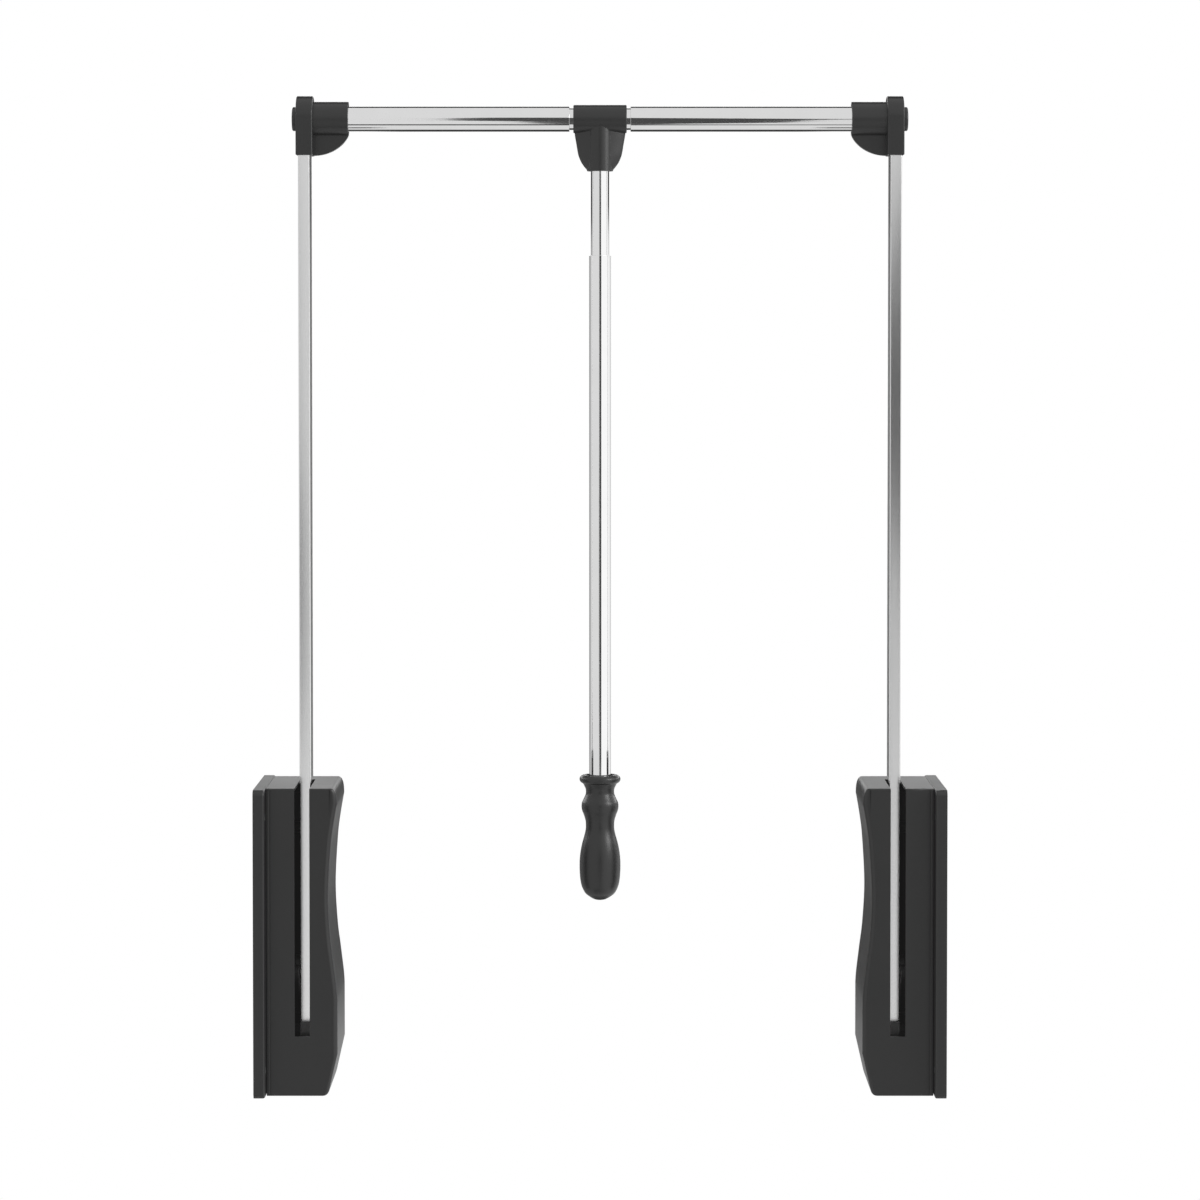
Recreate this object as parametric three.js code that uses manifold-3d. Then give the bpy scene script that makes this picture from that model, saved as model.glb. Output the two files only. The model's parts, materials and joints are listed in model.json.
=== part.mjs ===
// Pull down closet rod: two housings for the cabinet sides, two sprung arms, a telescopic rail, a pull rod.
// Millimetres, +Z up, front at -Y. The origin is midway between the sides, midway in the depth of the base
// plates and level with their bottom edge. The rail is drawn at its narrowest setting with the arms upright.

import * as THREE from "three";
import { mergeVertices } from "three/addons/utils/BufferGeometryUtils.js";
import Module from "manifold-3d";

const wasm = await Module();
wasm.setup();

// Clearances and counts
const fit_gap = 0.3;
const overrun = 4;
const round_segments = 24;
const small_segments = 12;
const screw_segments = 8;
const arc_segments = 8;
const corner_segments = 3;
const edge_segments = 2;

// Whole lift
const overall_width = 600;
const rail_height = 850;
const pivot_height = 78;
const pivot_y = 8;
const swing_limit_degrees = 97;

// Base plate
const base_thickness = 10;
const base_floor = 4;
const base_depth = 140;
const base_edge_radius = 4.4;
const base_corner_radius = 5;
const housing_height = 268;
const tray_margin = 5;
const mount_hole_radius = 2.5;
const mount_head_radius = 4.6;
const mount_hole_from_end = 24;

// Cover
const cover_reach = 61.7;
const cover_front_rim = 16;
const cover_rear_rim = 12;
const cover_wall = 2.5;
const cover_edge_radius = 3;
const cover_top_corner_width = 5.5;
const cover_bottom_corner = 6;
const cover_bottom_pull = 1;
const slot_side_clearance = 1.5;
const slot_rear_clearance = 4;
const slot_bottom_height = 52;

// Inner side of the cover, from the bottom up: share of the height, share of the reach
const cover_slant_shares = [0.022, 0.886];
const cover_straight_shares = [0.138, 1];
const cover_wave_shares = [
  [0.315, 1],
  [0.353, 0.989],
  [0.437, 0.945],
  [0.519, 0.902],
  [0.649, 0.874],
  [0.802, 0.908],
  [0.877, 0.947],
  [0.948, 1],
];
const cover_wave_steps = 16;

// Cover screws and their bosses
const cover_screw_radius = 1.5;
const cover_screw_head_radius = 3;
const cover_screw_head_height = 2;
const cover_screw_reach = 24;
const cover_boss_radius = 5;
const cover_boss_from_wall = 6.5;
const cover_boss_from_end = 16;
const cover_boss_from_stop = 8;

// Arm
const arm_setback = 41.4;
const arm_thickness = 10;
const arm_depth = 30;
const arm_wall = 1.5;
const arm_corner_radius = 0.8;
const arm_foot_drop = 20;
const arm_top_rise = 9;
const foot_shoe_height = 14;
const foot_shoe_corner = 6;
const foot_plug_depth = 7;

// Pivot shaft and its clip
const shaft_radius = 6;
const shaft_groove_radius = 5;
const shaft_clip_thickness = 1.2;
const shaft_clip_radius = 8.5;
const shaft_clip_mouth_degrees = 70;
const shaft_inner_engagement = 11;
const shaft_floor_left = 2;
const shaft_boss_wall = 4;

// Crank on the arm
const crank_thickness = 4;
const crank_hub_radius = 9;
const crank_hub_overhang = 1.6;
const crank_eye_radius = 15;
const crank_lever_length = 30;
const crank_lever_degrees = 40;
const crank_tip_radius = 8;
const crank_flange_length = 26;
const crank_flange_radius = 11;
const crank_bolt_radius = 3;
const crank_bolt_head_radius = 5.5;
const crank_bolt_head_height = 4;

// Spring and its two pins
const spring_coil_radius = 8.7;
const spring_wire_radius = 1.3;
const spring_curls = 11;
const spring_curl_steps = 8;
const spring_wire_sides = 5;
const spring_gap_steps = 6;
const spring_hook_rise = 11;
const spring_loop_steps = 9;
const spring_loop_degrees = 280;
const spring_pin_radius = 3;
const spring_pin_head_radius = 5;
const spring_pin_head_height = 2;
const spring_pin_spare = 4;
const anchor_from_top = 25;
const anchor_forward = 20;
const anchor_boss_height = 6;
const anchor_boss_wall = 3;

// Rubber stops
const open_stop_radius = 6;
const open_stop_post_radius = 3;
const open_stop_gap = 0.5;
const closed_stop_thickness = 6;
const closed_stop_height = 20;
const closed_stop_top_gap = 14;
const closed_stop_post_depth = 8;
const closed_stop_post_margin = 2;
const closed_stop_stem_radius = 2;
const closed_stop_stem_length = 5;

// Rail
const rail_tube_diameter = 22;
const rail_tube_wall = 1.2;
const rail_end_room = 2;

// End bracket
const cap_outer_wall = 1.7;
const cap_inner_wall = 2.4;
const cap_end_wall = 3;
const cap_drop = 32;
const cap_top_rise = 20;
const cap_edge_chamfer = 1;
const socket_wall = 3.7;
const socket_length = 30.6;
const socket_lip_chamfer = 1;
const gusset_thickness = 8;
const gusset_centre_share = 0.156;
const gusset_width_share = 1.07;
const button_radius = 10.5;
const button_height = 3.8;
const button_rim = 1.6;

// Outer edge of the button from its face back, in shares of the rim: in from the edge, back from the face
const button_edge_shares = [
  [2, 0.17],
  [0.33, 0.5],
  [0, 1],
];
const bracket_bolt_radius = 3;
const bracket_bolt_head_radius = 5.5;
const bracket_bolt_head_height = 2.2;
const tube_plug_length = 8;

// Tee on the rail
const tee_wall = 2.5;
const tee_half_length = 23.4;
const tee_end_gap = 3.3;
const tee_edge_chamfer = 0.8;
const tee_drop = 45.5;
const tee_neck_wall = 2.85;
const tee_wing_half_depth = 8.5;
const tee_web = 3;

// Front outline of the tee's lower body: share of the drop, share of the half length
const tee_body_shares = [
  [0.11, 0.95],
  [0.275, 0.95],
  [0.47, 0.889],
  [0.67, 0.822],
  [0.77, 0.757],
  [0.845, 0.688],
  [0.925, 0.579],
  [0.966, 0.51],
];
const tee_screw_radius = 1.5;
const tee_screw_drop_share = 0.76;

// Pull rod
const lower_rod_diameter = 19;
const rod_wall = 1.2;
const upper_rod_length = 466;
const lower_rod_top_drop = 119.2;
const handle_top_height = 274;
const bush_collar_length = 2;
const bush_spigot_length = 10;

// Handle, turned: share of the length up from the bottom, share of the largest radius
const handle_length = 110.7;
const handle_radius = 18.1;
const handle_rim_radius = 13.2;
const handle_recess_depth = 1.6;
const handle_lip_chamfer = 0.9;
const handle_seat_depth = 74;
const handle_waist_share = 0.688;
const handle_profile_shares = [
  [0, 0],
  [0.0154, 0.381],
  [0.047, 0.663],
  [0.078, 0.801],
  [0.119, 0.903],
  [0.167, 0.959],
  [0.232, 0.989],
  [0.28, 0.994],
  [0.329, 0.986],
  [0.393, 0.942],
  [0.457, 0.863],
  [0.522, 0.752],
  [0.565, 0.697],
  [0.596, handle_waist_share],
  [0.634, 0.704],
  [0.683, 0.79],
  [0.715, 0.867],
  [0.747, 0.898],
  [0.78, 0.876],
  [0.811, 0.79],
  [0.844, 0.704],
  [0.868, 0.684],
  [0.8925, 0.707],
  [0.924, 0.798],
  [0.932, 0.84],
  [0.9485, 0.95],
  [0.965, 0.997],
  [0.981, 0.978],
  [0.9937, 0.917],
];
const handle_screw_radius = 1.5;
const handle_screw_height_share = 0.594;
const screw_head_radius = 2.8;
const screw_head_height = 1.6;

// Places that follow from the sizes
const half_width = overall_width / 2;
const cover_front = base_depth / 2 - cover_front_rim;
const cover_rear = base_depth / 2 - cover_rear_rim;
const cover_start = base_thickness + fit_gap;
const cover_end = base_thickness + cover_reach + fit_gap;
const arm_outer_face = arm_setback - arm_thickness / 2;
const arm_inner_face = arm_setback + arm_thickness / 2;
const slot_half_width = arm_thickness / 2 + slot_side_clearance;
const arm_swing_radius = rail_height - pivot_height;
const crank_inner_face = arm_outer_face - fit_gap;
const crank_outer_face = crank_inner_face - crank_thickness;
const crank_hub_end = arm_inner_face + crank_hub_overhang;
const shaft_hole_radius = shaft_radius + fit_gap;
const clip_start = crank_hub_end + fit_gap;
const cover_shaft_boss_start = clip_start + shaft_clip_thickness + fit_gap;
const shaft_start = shaft_floor_left + fit_gap;
const shaft_end = cover_shaft_boss_start + shaft_inner_engagement;
const spring_x = (base_floor + crank_outer_face) / 2;
const spring_pin_end = spring_x - spring_pin_spare - spring_pin_head_height;
const spring_loop_radius = spring_pin_radius + fit_gap + spring_wire_radius;
const rail_inner_diameter = rail_tube_diameter - 2 * rail_tube_wall - 2 * fit_gap;
const rail_bore_radius = rail_tube_diameter / 2 - rail_tube_wall;
const cap_outer_face = arm_outer_face - fit_gap - cap_outer_wall;
const cap_inner_face = arm_inner_face + fit_gap + cap_inner_wall;
const socket_end = cap_inner_face + socket_length;
const socket_radius = rail_tube_diameter / 2 + fit_gap + socket_wall;
const tube_start = arm_inner_face + fit_gap + cap_inner_wall / 2 + fit_gap;
const plug_start = tube_start + fit_gap;
const plug_end = plug_start + tube_plug_length;
const upper_rod_diameter = lower_rod_diameter - 2 * rod_wall - 2 * fit_gap;
const tee_bore_radius = rail_inner_diameter / 2 + fit_gap;
const tee_sleeve_radius = tee_bore_radius + tee_wall;
const tee_neck_radius = upper_rod_diameter / 2 + fit_gap + tee_neck_wall;
const upper_rod_top = -(tee_bore_radius + tee_web);

// Colours
const black_plastic = new THREE.MeshStandardMaterial({ color: 0x1b1b1c, roughness: 0.45, metalness: 0 });
const dark_plastic = new THREE.MeshStandardMaterial({ color: 0x101011, roughness: 0.6, metalness: 0 });
const chrome = new THREE.MeshStandardMaterial({ color: 0xd9dbde, roughness: 0.08, metalness: 1 });
const satin_steel = new THREE.MeshStandardMaterial({ color: 0xc9cbcd, roughness: 0.35, metalness: 1 });
const zinc_steel = new THREE.MeshStandardMaterial({ color: 0xb3b6b8, roughness: 0.4, metalness: 1 });
const dark_steel = new THREE.MeshStandardMaterial({ color: 0x2c2d2f, roughness: 0.45, metalness: 0.8 });
const rubber = new THREE.MeshStandardMaterial({ color: 0x1a1a1a, roughness: 0.9, metalness: 0 });

// A closed geometry as a solid, and a solid as a geometry
function toSolid(geometry) {
  const bare = geometry.clone();
  bare.deleteAttribute("normal");
  bare.deleteAttribute("uv");
  const merged = mergeVertices(bare);
  const vertProperties = new Float32Array(merged.getAttribute("position").array);
  const triVerts = new Uint32Array(merged.index.array);
  return new wasm.Manifold(new wasm.Mesh({ numProp: 3, vertProperties, triVerts }));
}

function toGeometry(solid) {
  const mesh = solid.getMesh();
  const geometry = new THREE.BufferGeometry();
  geometry.setAttribute("position", new THREE.BufferAttribute(new Float32Array(mesh.vertProperties), 3));
  geometry.setIndex(new THREE.BufferAttribute(new Uint32Array(mesh.triVerts), 1));
  const flat = geometry.toNonIndexed();
  flat.computeVertexNormals();
  return flat;
}

function join(geometries) {
  let solid = toSolid(geometries[0]);
  for (const geometry of geometries.slice(1)) {
    solid = solid.add(toSolid(geometry));
  }
  return toGeometry(solid);
}

function cut(geometry, tools) {
  let solid = toSolid(geometry);
  for (const tool of tools) {
    solid = solid.subtract(toSolid(tool));
  }
  return toGeometry(solid);
}

// A block between two corners
function block([x0, y0, z0], [x1, y1, z1]) {
  const geometry = new THREE.BoxGeometry(x1 - x0, y1 - y0, z1 - z0);
  return geometry.translate((x0 + x1) / 2, (y0 + y1) / 2, (z0 + z1) / 2);
}

// A turned piece about +Z from [radius, height] pairs that run from the bottom up the outside
function turned(profile, segments = round_segments) {
  const points = profile.map(([radius, height]) => new THREE.Vector2(radius, height));
  const geometry = new THREE.LatheGeometry(points, segments);
  return geometry.rotateX(Math.PI / 2);
}

// The same about +X, from [radius, x] pairs
function turnedAlongX(profile, segments = round_segments) {
  return turned(profile, segments).rotateY(Math.PI / 2);
}

function rodAlongX(radius, x0, x1, y, z, segments = small_segments) {
  const profile = [[0, x0], [radius, x0], [radius, x1], [0, x1]];
  return turnedAlongX(profile, segments).translate(0, y, z);
}

function tubeAlongX(outer, inner, x0, x1, segments = round_segments) {
  return turnedAlongX([[inner, x0], [outer, x0], [outer, x1], [inner, x1], [inner, x0]], segments);
}

// A shape drawn in Y and Z, made thick along +X from x0 to x1
function plateAlongX(shape, x0, x1, bevel = null) {
  const settings = { depth: x1 - x0, bevelEnabled: false, curveSegments: arc_segments, ...bevel };
  const geometry = new THREE.ExtrudeGeometry(shape, settings);
  const turn = new THREE.Matrix4().makeBasis(
    new THREE.Vector3(0, 1, 0),
    new THREE.Vector3(0, 0, 1),
    new THREE.Vector3(1, 0, 0),
  );
  return geometry.applyMatrix4(turn).translate(x0, 0, 0);
}

// A shape drawn in X and Z, made thick along Y from the front y0 to the rear y1
function plateAlongY(shape, y0, y1, bevel = null) {
  const settings = { depth: y1 - y0, bevelEnabled: false, curveSegments: arc_segments, ...bevel };
  const geometry = new THREE.ExtrudeGeometry(shape, settings);
  const turn = new THREE.Matrix4().makeBasis(
    new THREE.Vector3(1, 0, 0),
    new THREE.Vector3(0, 0, 1),
    new THREE.Vector3(0, -1, 0),
  );
  return geometry.applyMatrix4(turn).translate(0, y1, 0);
}

function roundedRectangle(width, height, radius) {
  const shape = new THREE.Shape();
  const right = width / 2;
  const top = height / 2;
  shape.moveTo(-right + radius, -top);
  shape.absarc(right - radius, -top + radius, radius, -Math.PI / 2, 0);
  shape.absarc(right - radius, top - radius, radius, 0, Math.PI / 2);
  shape.absarc(-right + radius, top - radius, radius, Math.PI / 2, Math.PI);
  shape.absarc(-right + radius, -top + radius, radius, Math.PI, Math.PI + Math.PI / 2);
  return shape;
}

// A straight bar with two round ends, in Y and Z, from the origin to a point at an angle forward of upright
function lobe(length, degrees, near_radius, far_radius) {
  const angle = THREE.MathUtils.degToRad(degrees);
  const along = new THREE.Vector2(-Math.sin(angle), Math.cos(angle));
  const facing = Math.atan2(along.y, along.x);
  const spread = Math.acos((near_radius - far_radius) / length);
  const shape = new THREE.Shape();
  shape.absarc(0, 0, near_radius, facing + spread, facing - spread + 2 * Math.PI);
  shape.absarc(along.x * length, along.y * length, far_radius, facing - spread, facing + spread);
  return shape;
}

// A tube that follows a list of points, with flat ends
function sweep(points, radius, sides) {
  const positions = [];
  const indices = [];
  const tangents = points.map((point, i) => {
    const before = points[Math.max(i - 1, 0)];
    const after = points[Math.min(i + 1, points.length - 1)];
    return after.clone().sub(before).normalize();
  });
  const side = new THREE.Vector3(0, 0, 1).cross(tangents[0]).normalize();
  points.forEach((point, i) => {
    side.addScaledVector(tangents[i], -side.dot(tangents[i])).normalize();
    const up = tangents[i].clone().cross(side);
    for (let k = 0; k < sides; k += 1) {
      const angle = (2 * Math.PI * k) / sides;
      const place = point.clone();
      place.addScaledVector(side, radius * Math.cos(angle));
      place.addScaledVector(up, radius * Math.sin(angle));
      positions.push(place.x, place.y, place.z);
    }
  });
  for (let i = 0; i + 1 < points.length; i += 1) {
    for (let k = 0; k < sides; k += 1) {
      const a = i * sides + k;
      const b = i * sides + ((k + 1) % sides);
      indices.push(a, b, b + sides, a, b + sides, a + sides);
    }
  }
  const last = (points.length - 1) * sides;
  for (let k = 1; k + 1 < sides; k += 1) {
    indices.push(0, k + 1, k);
    indices.push(last, last + k, last + k + 1);
  }
  const geometry = new THREE.BufferGeometry();
  geometry.setAttribute("position", new THREE.Float32BufferAttribute(positions, 3));
  geometry.setIndex(indices);
  geometry.computeVertexNormals();
  return geometry;
}

// The least gap between stretches of one tube that are further apart along it than a given count of points
function leastGap(points, radius, apart) {
  let least = Infinity;
  for (let i = 0; i < points.length; i += 1) {
    for (let k = i + apart; k < points.length; k += 1) {
      least = Math.min(least, points[i].distanceTo(points[k]) - 2 * radius);
    }
  }
  return least;
}

// Named mesh at a place
function piece(name, geometry, material, place = [0, 0, 0]) {
  const mesh = new THREE.Mesh(geometry, material);
  mesh.name = name;
  mesh.position.set(...place);
  return mesh;
}

// Points of the mechanism in Y and Z, measured from the pivot
function forwardOfUpright(length, degrees) {
  const angle = THREE.MathUtils.degToRad(degrees);
  return [-length * Math.sin(angle), length * Math.cos(angle)];
}

const lever_tip = forwardOfUpright(crank_lever_length, crank_lever_degrees);
const anchor_place = [-anchor_forward, housing_height - anchor_from_top];

// The open stop lies against the lever's flank, which leans in from its eye to its tip, or against its tip
const flank_lean = Math.acos((crank_eye_radius - crank_tip_radius) / crank_lever_length);
const flank_room = Math.acos((crank_eye_radius + open_stop_radius + open_stop_gap) / crank_lever_length);
const tip_spacing = crank_tip_radius + open_stop_radius + open_stop_gap;
const tip_room = 2 * Math.asin(tip_spacing / 2 / crank_lever_length);
const open_stop_step = THREE.MathUtils.radToDeg(Math.max(flank_lean - flank_room, tip_room));
const open_stop_degrees = crank_lever_degrees + swing_limit_degrees + open_stop_step;
const open_stop_place = forwardOfUpright(crank_lever_length, open_stop_degrees);
const closed_stop_low = housing_height - closed_stop_top_gap - closed_stop_height;
const closed_stop_front = pivot_y + arm_depth / 2 + fit_gap;
const closed_stop_back = closed_stop_front + closed_stop_thickness;
const cover_screw_inset = cover_wall + cover_boss_from_wall + cover_boss_radius;
const cover_screw_places = [
  [cover_rear - cover_screw_inset, closed_stop_low - closed_stop_post_margin - cover_boss_from_stop],
  [cover_rear - cover_screw_inset, cover_boss_from_end],
  [-cover_front + cover_screw_inset, cover_boss_from_end],
];

// Base plate: a tray with a rounded rim, bosses for the shaft, the spring pin and the stops
function basePlate() {
  const outline = roundedRectangle(base_depth, housing_height, base_corner_radius);
  const bevel = {
    bevelEnabled: true,
    bevelThickness: base_edge_radius,
    bevelSize: base_edge_radius,
    bevelOffset: -base_edge_radius,
    bevelSegments: edge_segments,
    curveSegments: edge_segments,
  };
  const slab = plateAlongX(outline, 0, base_thickness - base_edge_radius, bevel);
  slab.translate(0, 0, housing_height / 2);
  const behind = block(
    [-base_edge_radius - overrun, -base_depth, -overrun],
    [0, base_depth, housing_height + overrun],
  );
  const tray = block(
    [base_floor, -cover_front + cover_wall + tray_margin, cover_wall + tray_margin],
    [base_thickness + overrun, cover_rear - cover_wall - tray_margin,
      housing_height - cover_wall - tray_margin],
  );
  const root = base_floor / 2;
  const shaft_boss = rodAlongX(
    shaft_hole_radius + shaft_boss_wall, root, crank_outer_face - fit_gap, pivot_y, pivot_height);
  const anchor_boss = rodAlongX(
    spring_pin_radius + fit_gap + anchor_boss_wall, root, base_floor + anchor_boss_height, ...anchor_place);
  const stop_post = rodAlongX(
    open_stop_post_radius, root, crank_inner_face - fit_gap,
    pivot_y + open_stop_place[0], pivot_height + open_stop_place[1]);
  const closed_post = block(
    [root, closed_stop_back + fit_gap, closed_stop_low - closed_stop_post_margin],
    [arm_inner_face, closed_stop_back + fit_gap + closed_stop_post_depth,
      closed_stop_low + closed_stop_height + closed_stop_post_margin],
  );
  const lands = cover_screw_places.map(([y, z]) =>
    rodAlongX(cover_boss_radius, root, base_thickness, y, z));
  const body = join([
    cut(slab, [behind, tray]), shaft_boss, anchor_boss, stop_post, closed_post, ...lands,
  ]);
  const holes = [
    rodAlongX(shaft_hole_radius, shaft_floor_left, crank_outer_face, pivot_y, pivot_height),
    rodAlongX(spring_pin_radius + fit_gap, root, base_floor + anchor_boss_height + overrun, ...anchor_place),
    stemHole(),
  ];
  for (const [y, z] of cover_screw_places) {
    holes.push(coverScrew(fit_gap, overrun).translate(0, y, z));
  }
  const rim_front = -(base_depth / 2 + cover_front) / 2;
  const rim_rear = (base_depth / 2 + cover_rear) / 2;
  for (const y of [rim_front, rim_rear]) {
    for (const z of [mount_hole_from_end, housing_height - mount_hole_from_end]) {
      holes.push(mountHole().translate(0, y, z));
    }
  }
  return cut(body, holes);
}

// Countersunk hole for a wood screw, open to both faces of the base plate
function mountHole() {
  const slope = mount_head_radius - mount_hole_radius;
  return turnedAlongX([
    [0, -overrun],
    [mount_hole_radius, -overrun],
    [mount_hole_radius, base_thickness - slope - fit_gap],
    [mount_head_radius, base_thickness - fit_gap],
    [mount_head_radius, base_thickness + overrun],
    [0, base_thickness + overrun],
  ], screw_segments);
}

// Pan head screw from the back of the base plate into the cover, and the hole for it when grown by a gap
function coverScrew(grow = 0, behind = 0) {
  const head_start = fit_gap - behind;
  const head_end = fit_gap + cover_screw_head_height + grow;
  return turnedAlongX([
    [0, head_start],
    [cover_screw_head_radius + grow, head_start],
    [cover_screw_head_radius + grow, head_end],
    [cover_screw_radius + grow, head_end],
    [cover_screw_radius + grow, cover_screw_reach + grow],
    [0, cover_screw_reach + grow],
  ], screw_segments);
}

// Side view outline of the cover in X and Z, moved in by a wall
function coverOutline(inset, open_x) {
  const place = ([height_share, reach_share]) => new THREE.Vector2(
    cover_start + reach_share * (cover_end - cover_start) - inset,
    inset + height_share * (housing_height - 2 * inset),
  );
  const top = housing_height - inset;
  const corner = new THREE.Vector2(cover_end - inset, top);
  const slant = place(cover_slant_shares);
  const wave = new THREE.SplineCurve(cover_wave_shares.map(place));
  const shape = new THREE.Shape();
  shape.moveTo(open_x, inset);
  shape.lineTo(slant.x - cover_bottom_corner, inset);
  shape.quadraticCurveTo(slant.x - cover_bottom_pull, inset, slant.x, slant.y);
  shape.lineTo(place(cover_straight_shares).x, place(cover_straight_shares).y);
  for (const point of wave.getPoints(cover_wave_steps)) {
    shape.lineTo(point.x, point.y);
  }
  shape.quadraticCurveTo(corner.x, corner.y, corner.x - cover_top_corner_width, top);
  shape.lineTo(open_x, top);
  return shape;
}

// Cover: a shell open towards the base plate, with the slot that the arm swings through
function cover() {
  const bevel = {
    bevelEnabled: true,
    bevelThickness: cover_edge_radius,
    bevelSize: cover_edge_radius,
    bevelOffset: -cover_edge_radius,
    bevelSegments: edge_segments,
    curveSegments: corner_segments,
  };
  const outer = plateAlongY(
    coverOutline(0, cover_start),
    -cover_front + cover_edge_radius, cover_rear - cover_edge_radius, bevel);
  const hollow = plateAlongY(
    coverOutline(cover_wall, cover_start - overrun),
    -cover_front + cover_wall, cover_rear - cover_wall, { curveSegments: corner_segments });
  const slot_low_x = arm_setback - slot_half_width;
  const slot_high_x = arm_setback + slot_half_width;
  const front_slot = block(
    [slot_low_x, -cover_front - overrun, slot_bottom_height],
    [slot_high_x, -cover_front + cover_wall + overrun, housing_height + overrun],
  );
  const top_slot = block(
    [slot_low_x, -cover_front - overrun, housing_height - cover_wall - overrun],
    [slot_high_x, pivot_y + arm_depth / 2 + slot_rear_clearance, housing_height + overrun],
  );
  const shell = cut(outer, [hollow, front_slot, top_slot]);
  const wall_root = (z) => coverInnerX(z) + cover_wall / 2;
  const shaft_boss = rodAlongX(
    shaft_hole_radius + cover_wall, cover_shaft_boss_start, wall_root(pivot_height),
    pivot_y, pivot_height);
  const screw_bosses = cover_screw_places.map(([y, z]) =>
    rodAlongX(cover_boss_radius, cover_start, wall_root(z), y, z));
  const holes = [
    rodAlongX(shaft_hole_radius, cover_shaft_boss_start - overrun, shaft_end + fit_gap,
      pivot_y, pivot_height),
    ...cover_screw_places.map(([y, z]) => coverScrew(fit_gap, overrun).translate(0, y, z)),
  ];
  return cut(join([shell, shaft_boss, ...screw_bosses]), holes);
}

// Where the inner surface of the cover's side wall lies at a height
function coverInnerX(height) {
  const shares = [cover_slant_shares, cover_straight_shares, ...cover_wave_shares];
  const level = (height - cover_wall) / (housing_height - 2 * cover_wall);
  let k = 0;
  while (k + 2 < shares.length && shares[k + 1][0] < level) {
    k += 1;
  }
  const [low, high] = [shares[k], shares[k + 1]];
  const along = (level - low[0]) / (high[0] - low[0]);
  const reach_share = low[1] + along * (high[1] - low[1]);
  return cover_start + reach_share * (cover_end - cover_start) - cover_wall;
}

// Arm: a rectangular tube about its own pivot, with holes for the crank hub, its bolt and the rail bolt
function arm() {
  const middle = (arm_swing_radius + arm_top_rise - arm_foot_drop) / 2;
  const length = arm_swing_radius + arm_top_rise + arm_foot_drop;
  const outline = roundedRectangle(arm_thickness, arm_depth, arm_corner_radius);
  const bore = roundedRectangle(
    arm_thickness - 2 * arm_wall, arm_depth - 2 * arm_wall, arm_corner_radius / 2);
  const settings = { bevelEnabled: false, curveSegments: corner_segments };
  const bar = new THREE.ExtrudeGeometry(outline, { depth: length, ...settings });
  const hollow = new THREE.ExtrudeGeometry(bore, { depth: length + 2 * overrun, ...settings });
  bar.translate(0, 0, middle - length / 2);
  hollow.translate(0, 0, middle - length / 2 - overrun);
  const reach = arm_thickness / 2 + overrun;
  return cut(bar, [
    hollow,
    rodAlongX(crank_hub_radius + fit_gap, -reach, reach, 0, 0),
    rodAlongX(crank_bolt_radius + fit_gap, -reach, reach, 0, crank_flange_length),
    rodAlongX(bracket_bolt_radius + fit_gap, -reach, reach, 0, arm_swing_radius),
  ]);
}

// Shoe below the arm, with a spigot that plugs the arm's lower end, drawn from the pivot
function footPlug() {
  const spigot_x = arm_thickness / 2 - arm_wall - fit_gap;
  const spigot_y = arm_depth / 2 - arm_wall - fit_gap;
  const top = -arm_foot_drop - fit_gap;
  const bottom = top - foot_shoe_height;
  const half_depth = arm_depth / 2;
  const shape = new THREE.Shape();
  shape.moveTo(-half_depth, top);
  shape.lineTo(-half_depth, bottom + foot_shoe_corner);
  shape.quadraticCurveTo(-half_depth, bottom, -half_depth + foot_shoe_corner, bottom);
  shape.lineTo(half_depth - foot_shoe_corner, bottom);
  shape.quadraticCurveTo(half_depth, bottom, half_depth, bottom + foot_shoe_corner);
  shape.lineTo(half_depth, top);
  const shoe = plateAlongX(
    shape, -arm_thickness / 2, arm_thickness / 2, { curveSegments: corner_segments });
  const spigot = block(
    [-spigot_x, -spigot_y, top - foot_shoe_corner],
    [spigot_x, spigot_y, top + foot_plug_depth],
  );
  return join([shoe, spigot]);
}

// Shaft that the arm turns on, with a groove for its clip
function shaft() {
  const groove_end = clip_start + shaft_clip_thickness + fit_gap;
  const groove_start = clip_start - fit_gap;
  const chamfer = (shaft_radius - shaft_groove_radius) / 2;
  return turnedAlongX([
    [0, shaft_start],
    [shaft_radius - chamfer, shaft_start],
    [shaft_radius, shaft_start + chamfer],
    [shaft_radius, groove_start],
    [shaft_groove_radius, groove_start],
    [shaft_groove_radius, groove_end],
    [shaft_radius, groove_end],
    [shaft_radius, shaft_end - chamfer],
    [shaft_radius - chamfer, shaft_end],
    [0, shaft_end],
  ], small_segments);
}

// Open ring that snaps into the groove of the shaft
function shaftClip() {
  const half_mouth = THREE.MathUtils.degToRad(shaft_clip_mouth_degrees / 2);
  const shape = new THREE.Shape();
  shape.absarc(0, 0, shaft_clip_radius, half_mouth, 2 * Math.PI - half_mouth, false);
  shape.absarc(0, 0, shaft_groove_radius + fit_gap, 2 * Math.PI - half_mouth, half_mouth, true);
  return plateAlongX(shape, clip_start, clip_start + shaft_clip_thickness);
}

// Bell crank: hub through the arm, a flange bolted to the arm and a lever for the spring, about the pivot
function crank() {
  const plates = [
    lobe(crank_lever_length, crank_lever_degrees, crank_eye_radius, crank_tip_radius),
    lobe(crank_flange_length, 0, crank_eye_radius, crank_flange_radius),
  ].map((shape) => plateAlongX(shape, crank_outer_face, crank_inner_face));
  const hub = turnedAlongX([
    [0, crank_outer_face], [crank_hub_radius, crank_outer_face], [crank_hub_radius, crank_hub_end],
    [0, crank_hub_end],
  ], small_segments);
  const low = crank_outer_face - overrun;
  return cut(join([...plates, hub]), [
    rodAlongX(shaft_hole_radius, low, crank_hub_end + overrun, 0, 0),
    rodAlongX(spring_pin_radius + fit_gap, low, crank_hub_end, ...lever_tip),
    rodAlongX(crank_bolt_radius + fit_gap, low, crank_hub_end, 0, crank_flange_length),
  ]);
}

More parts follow.
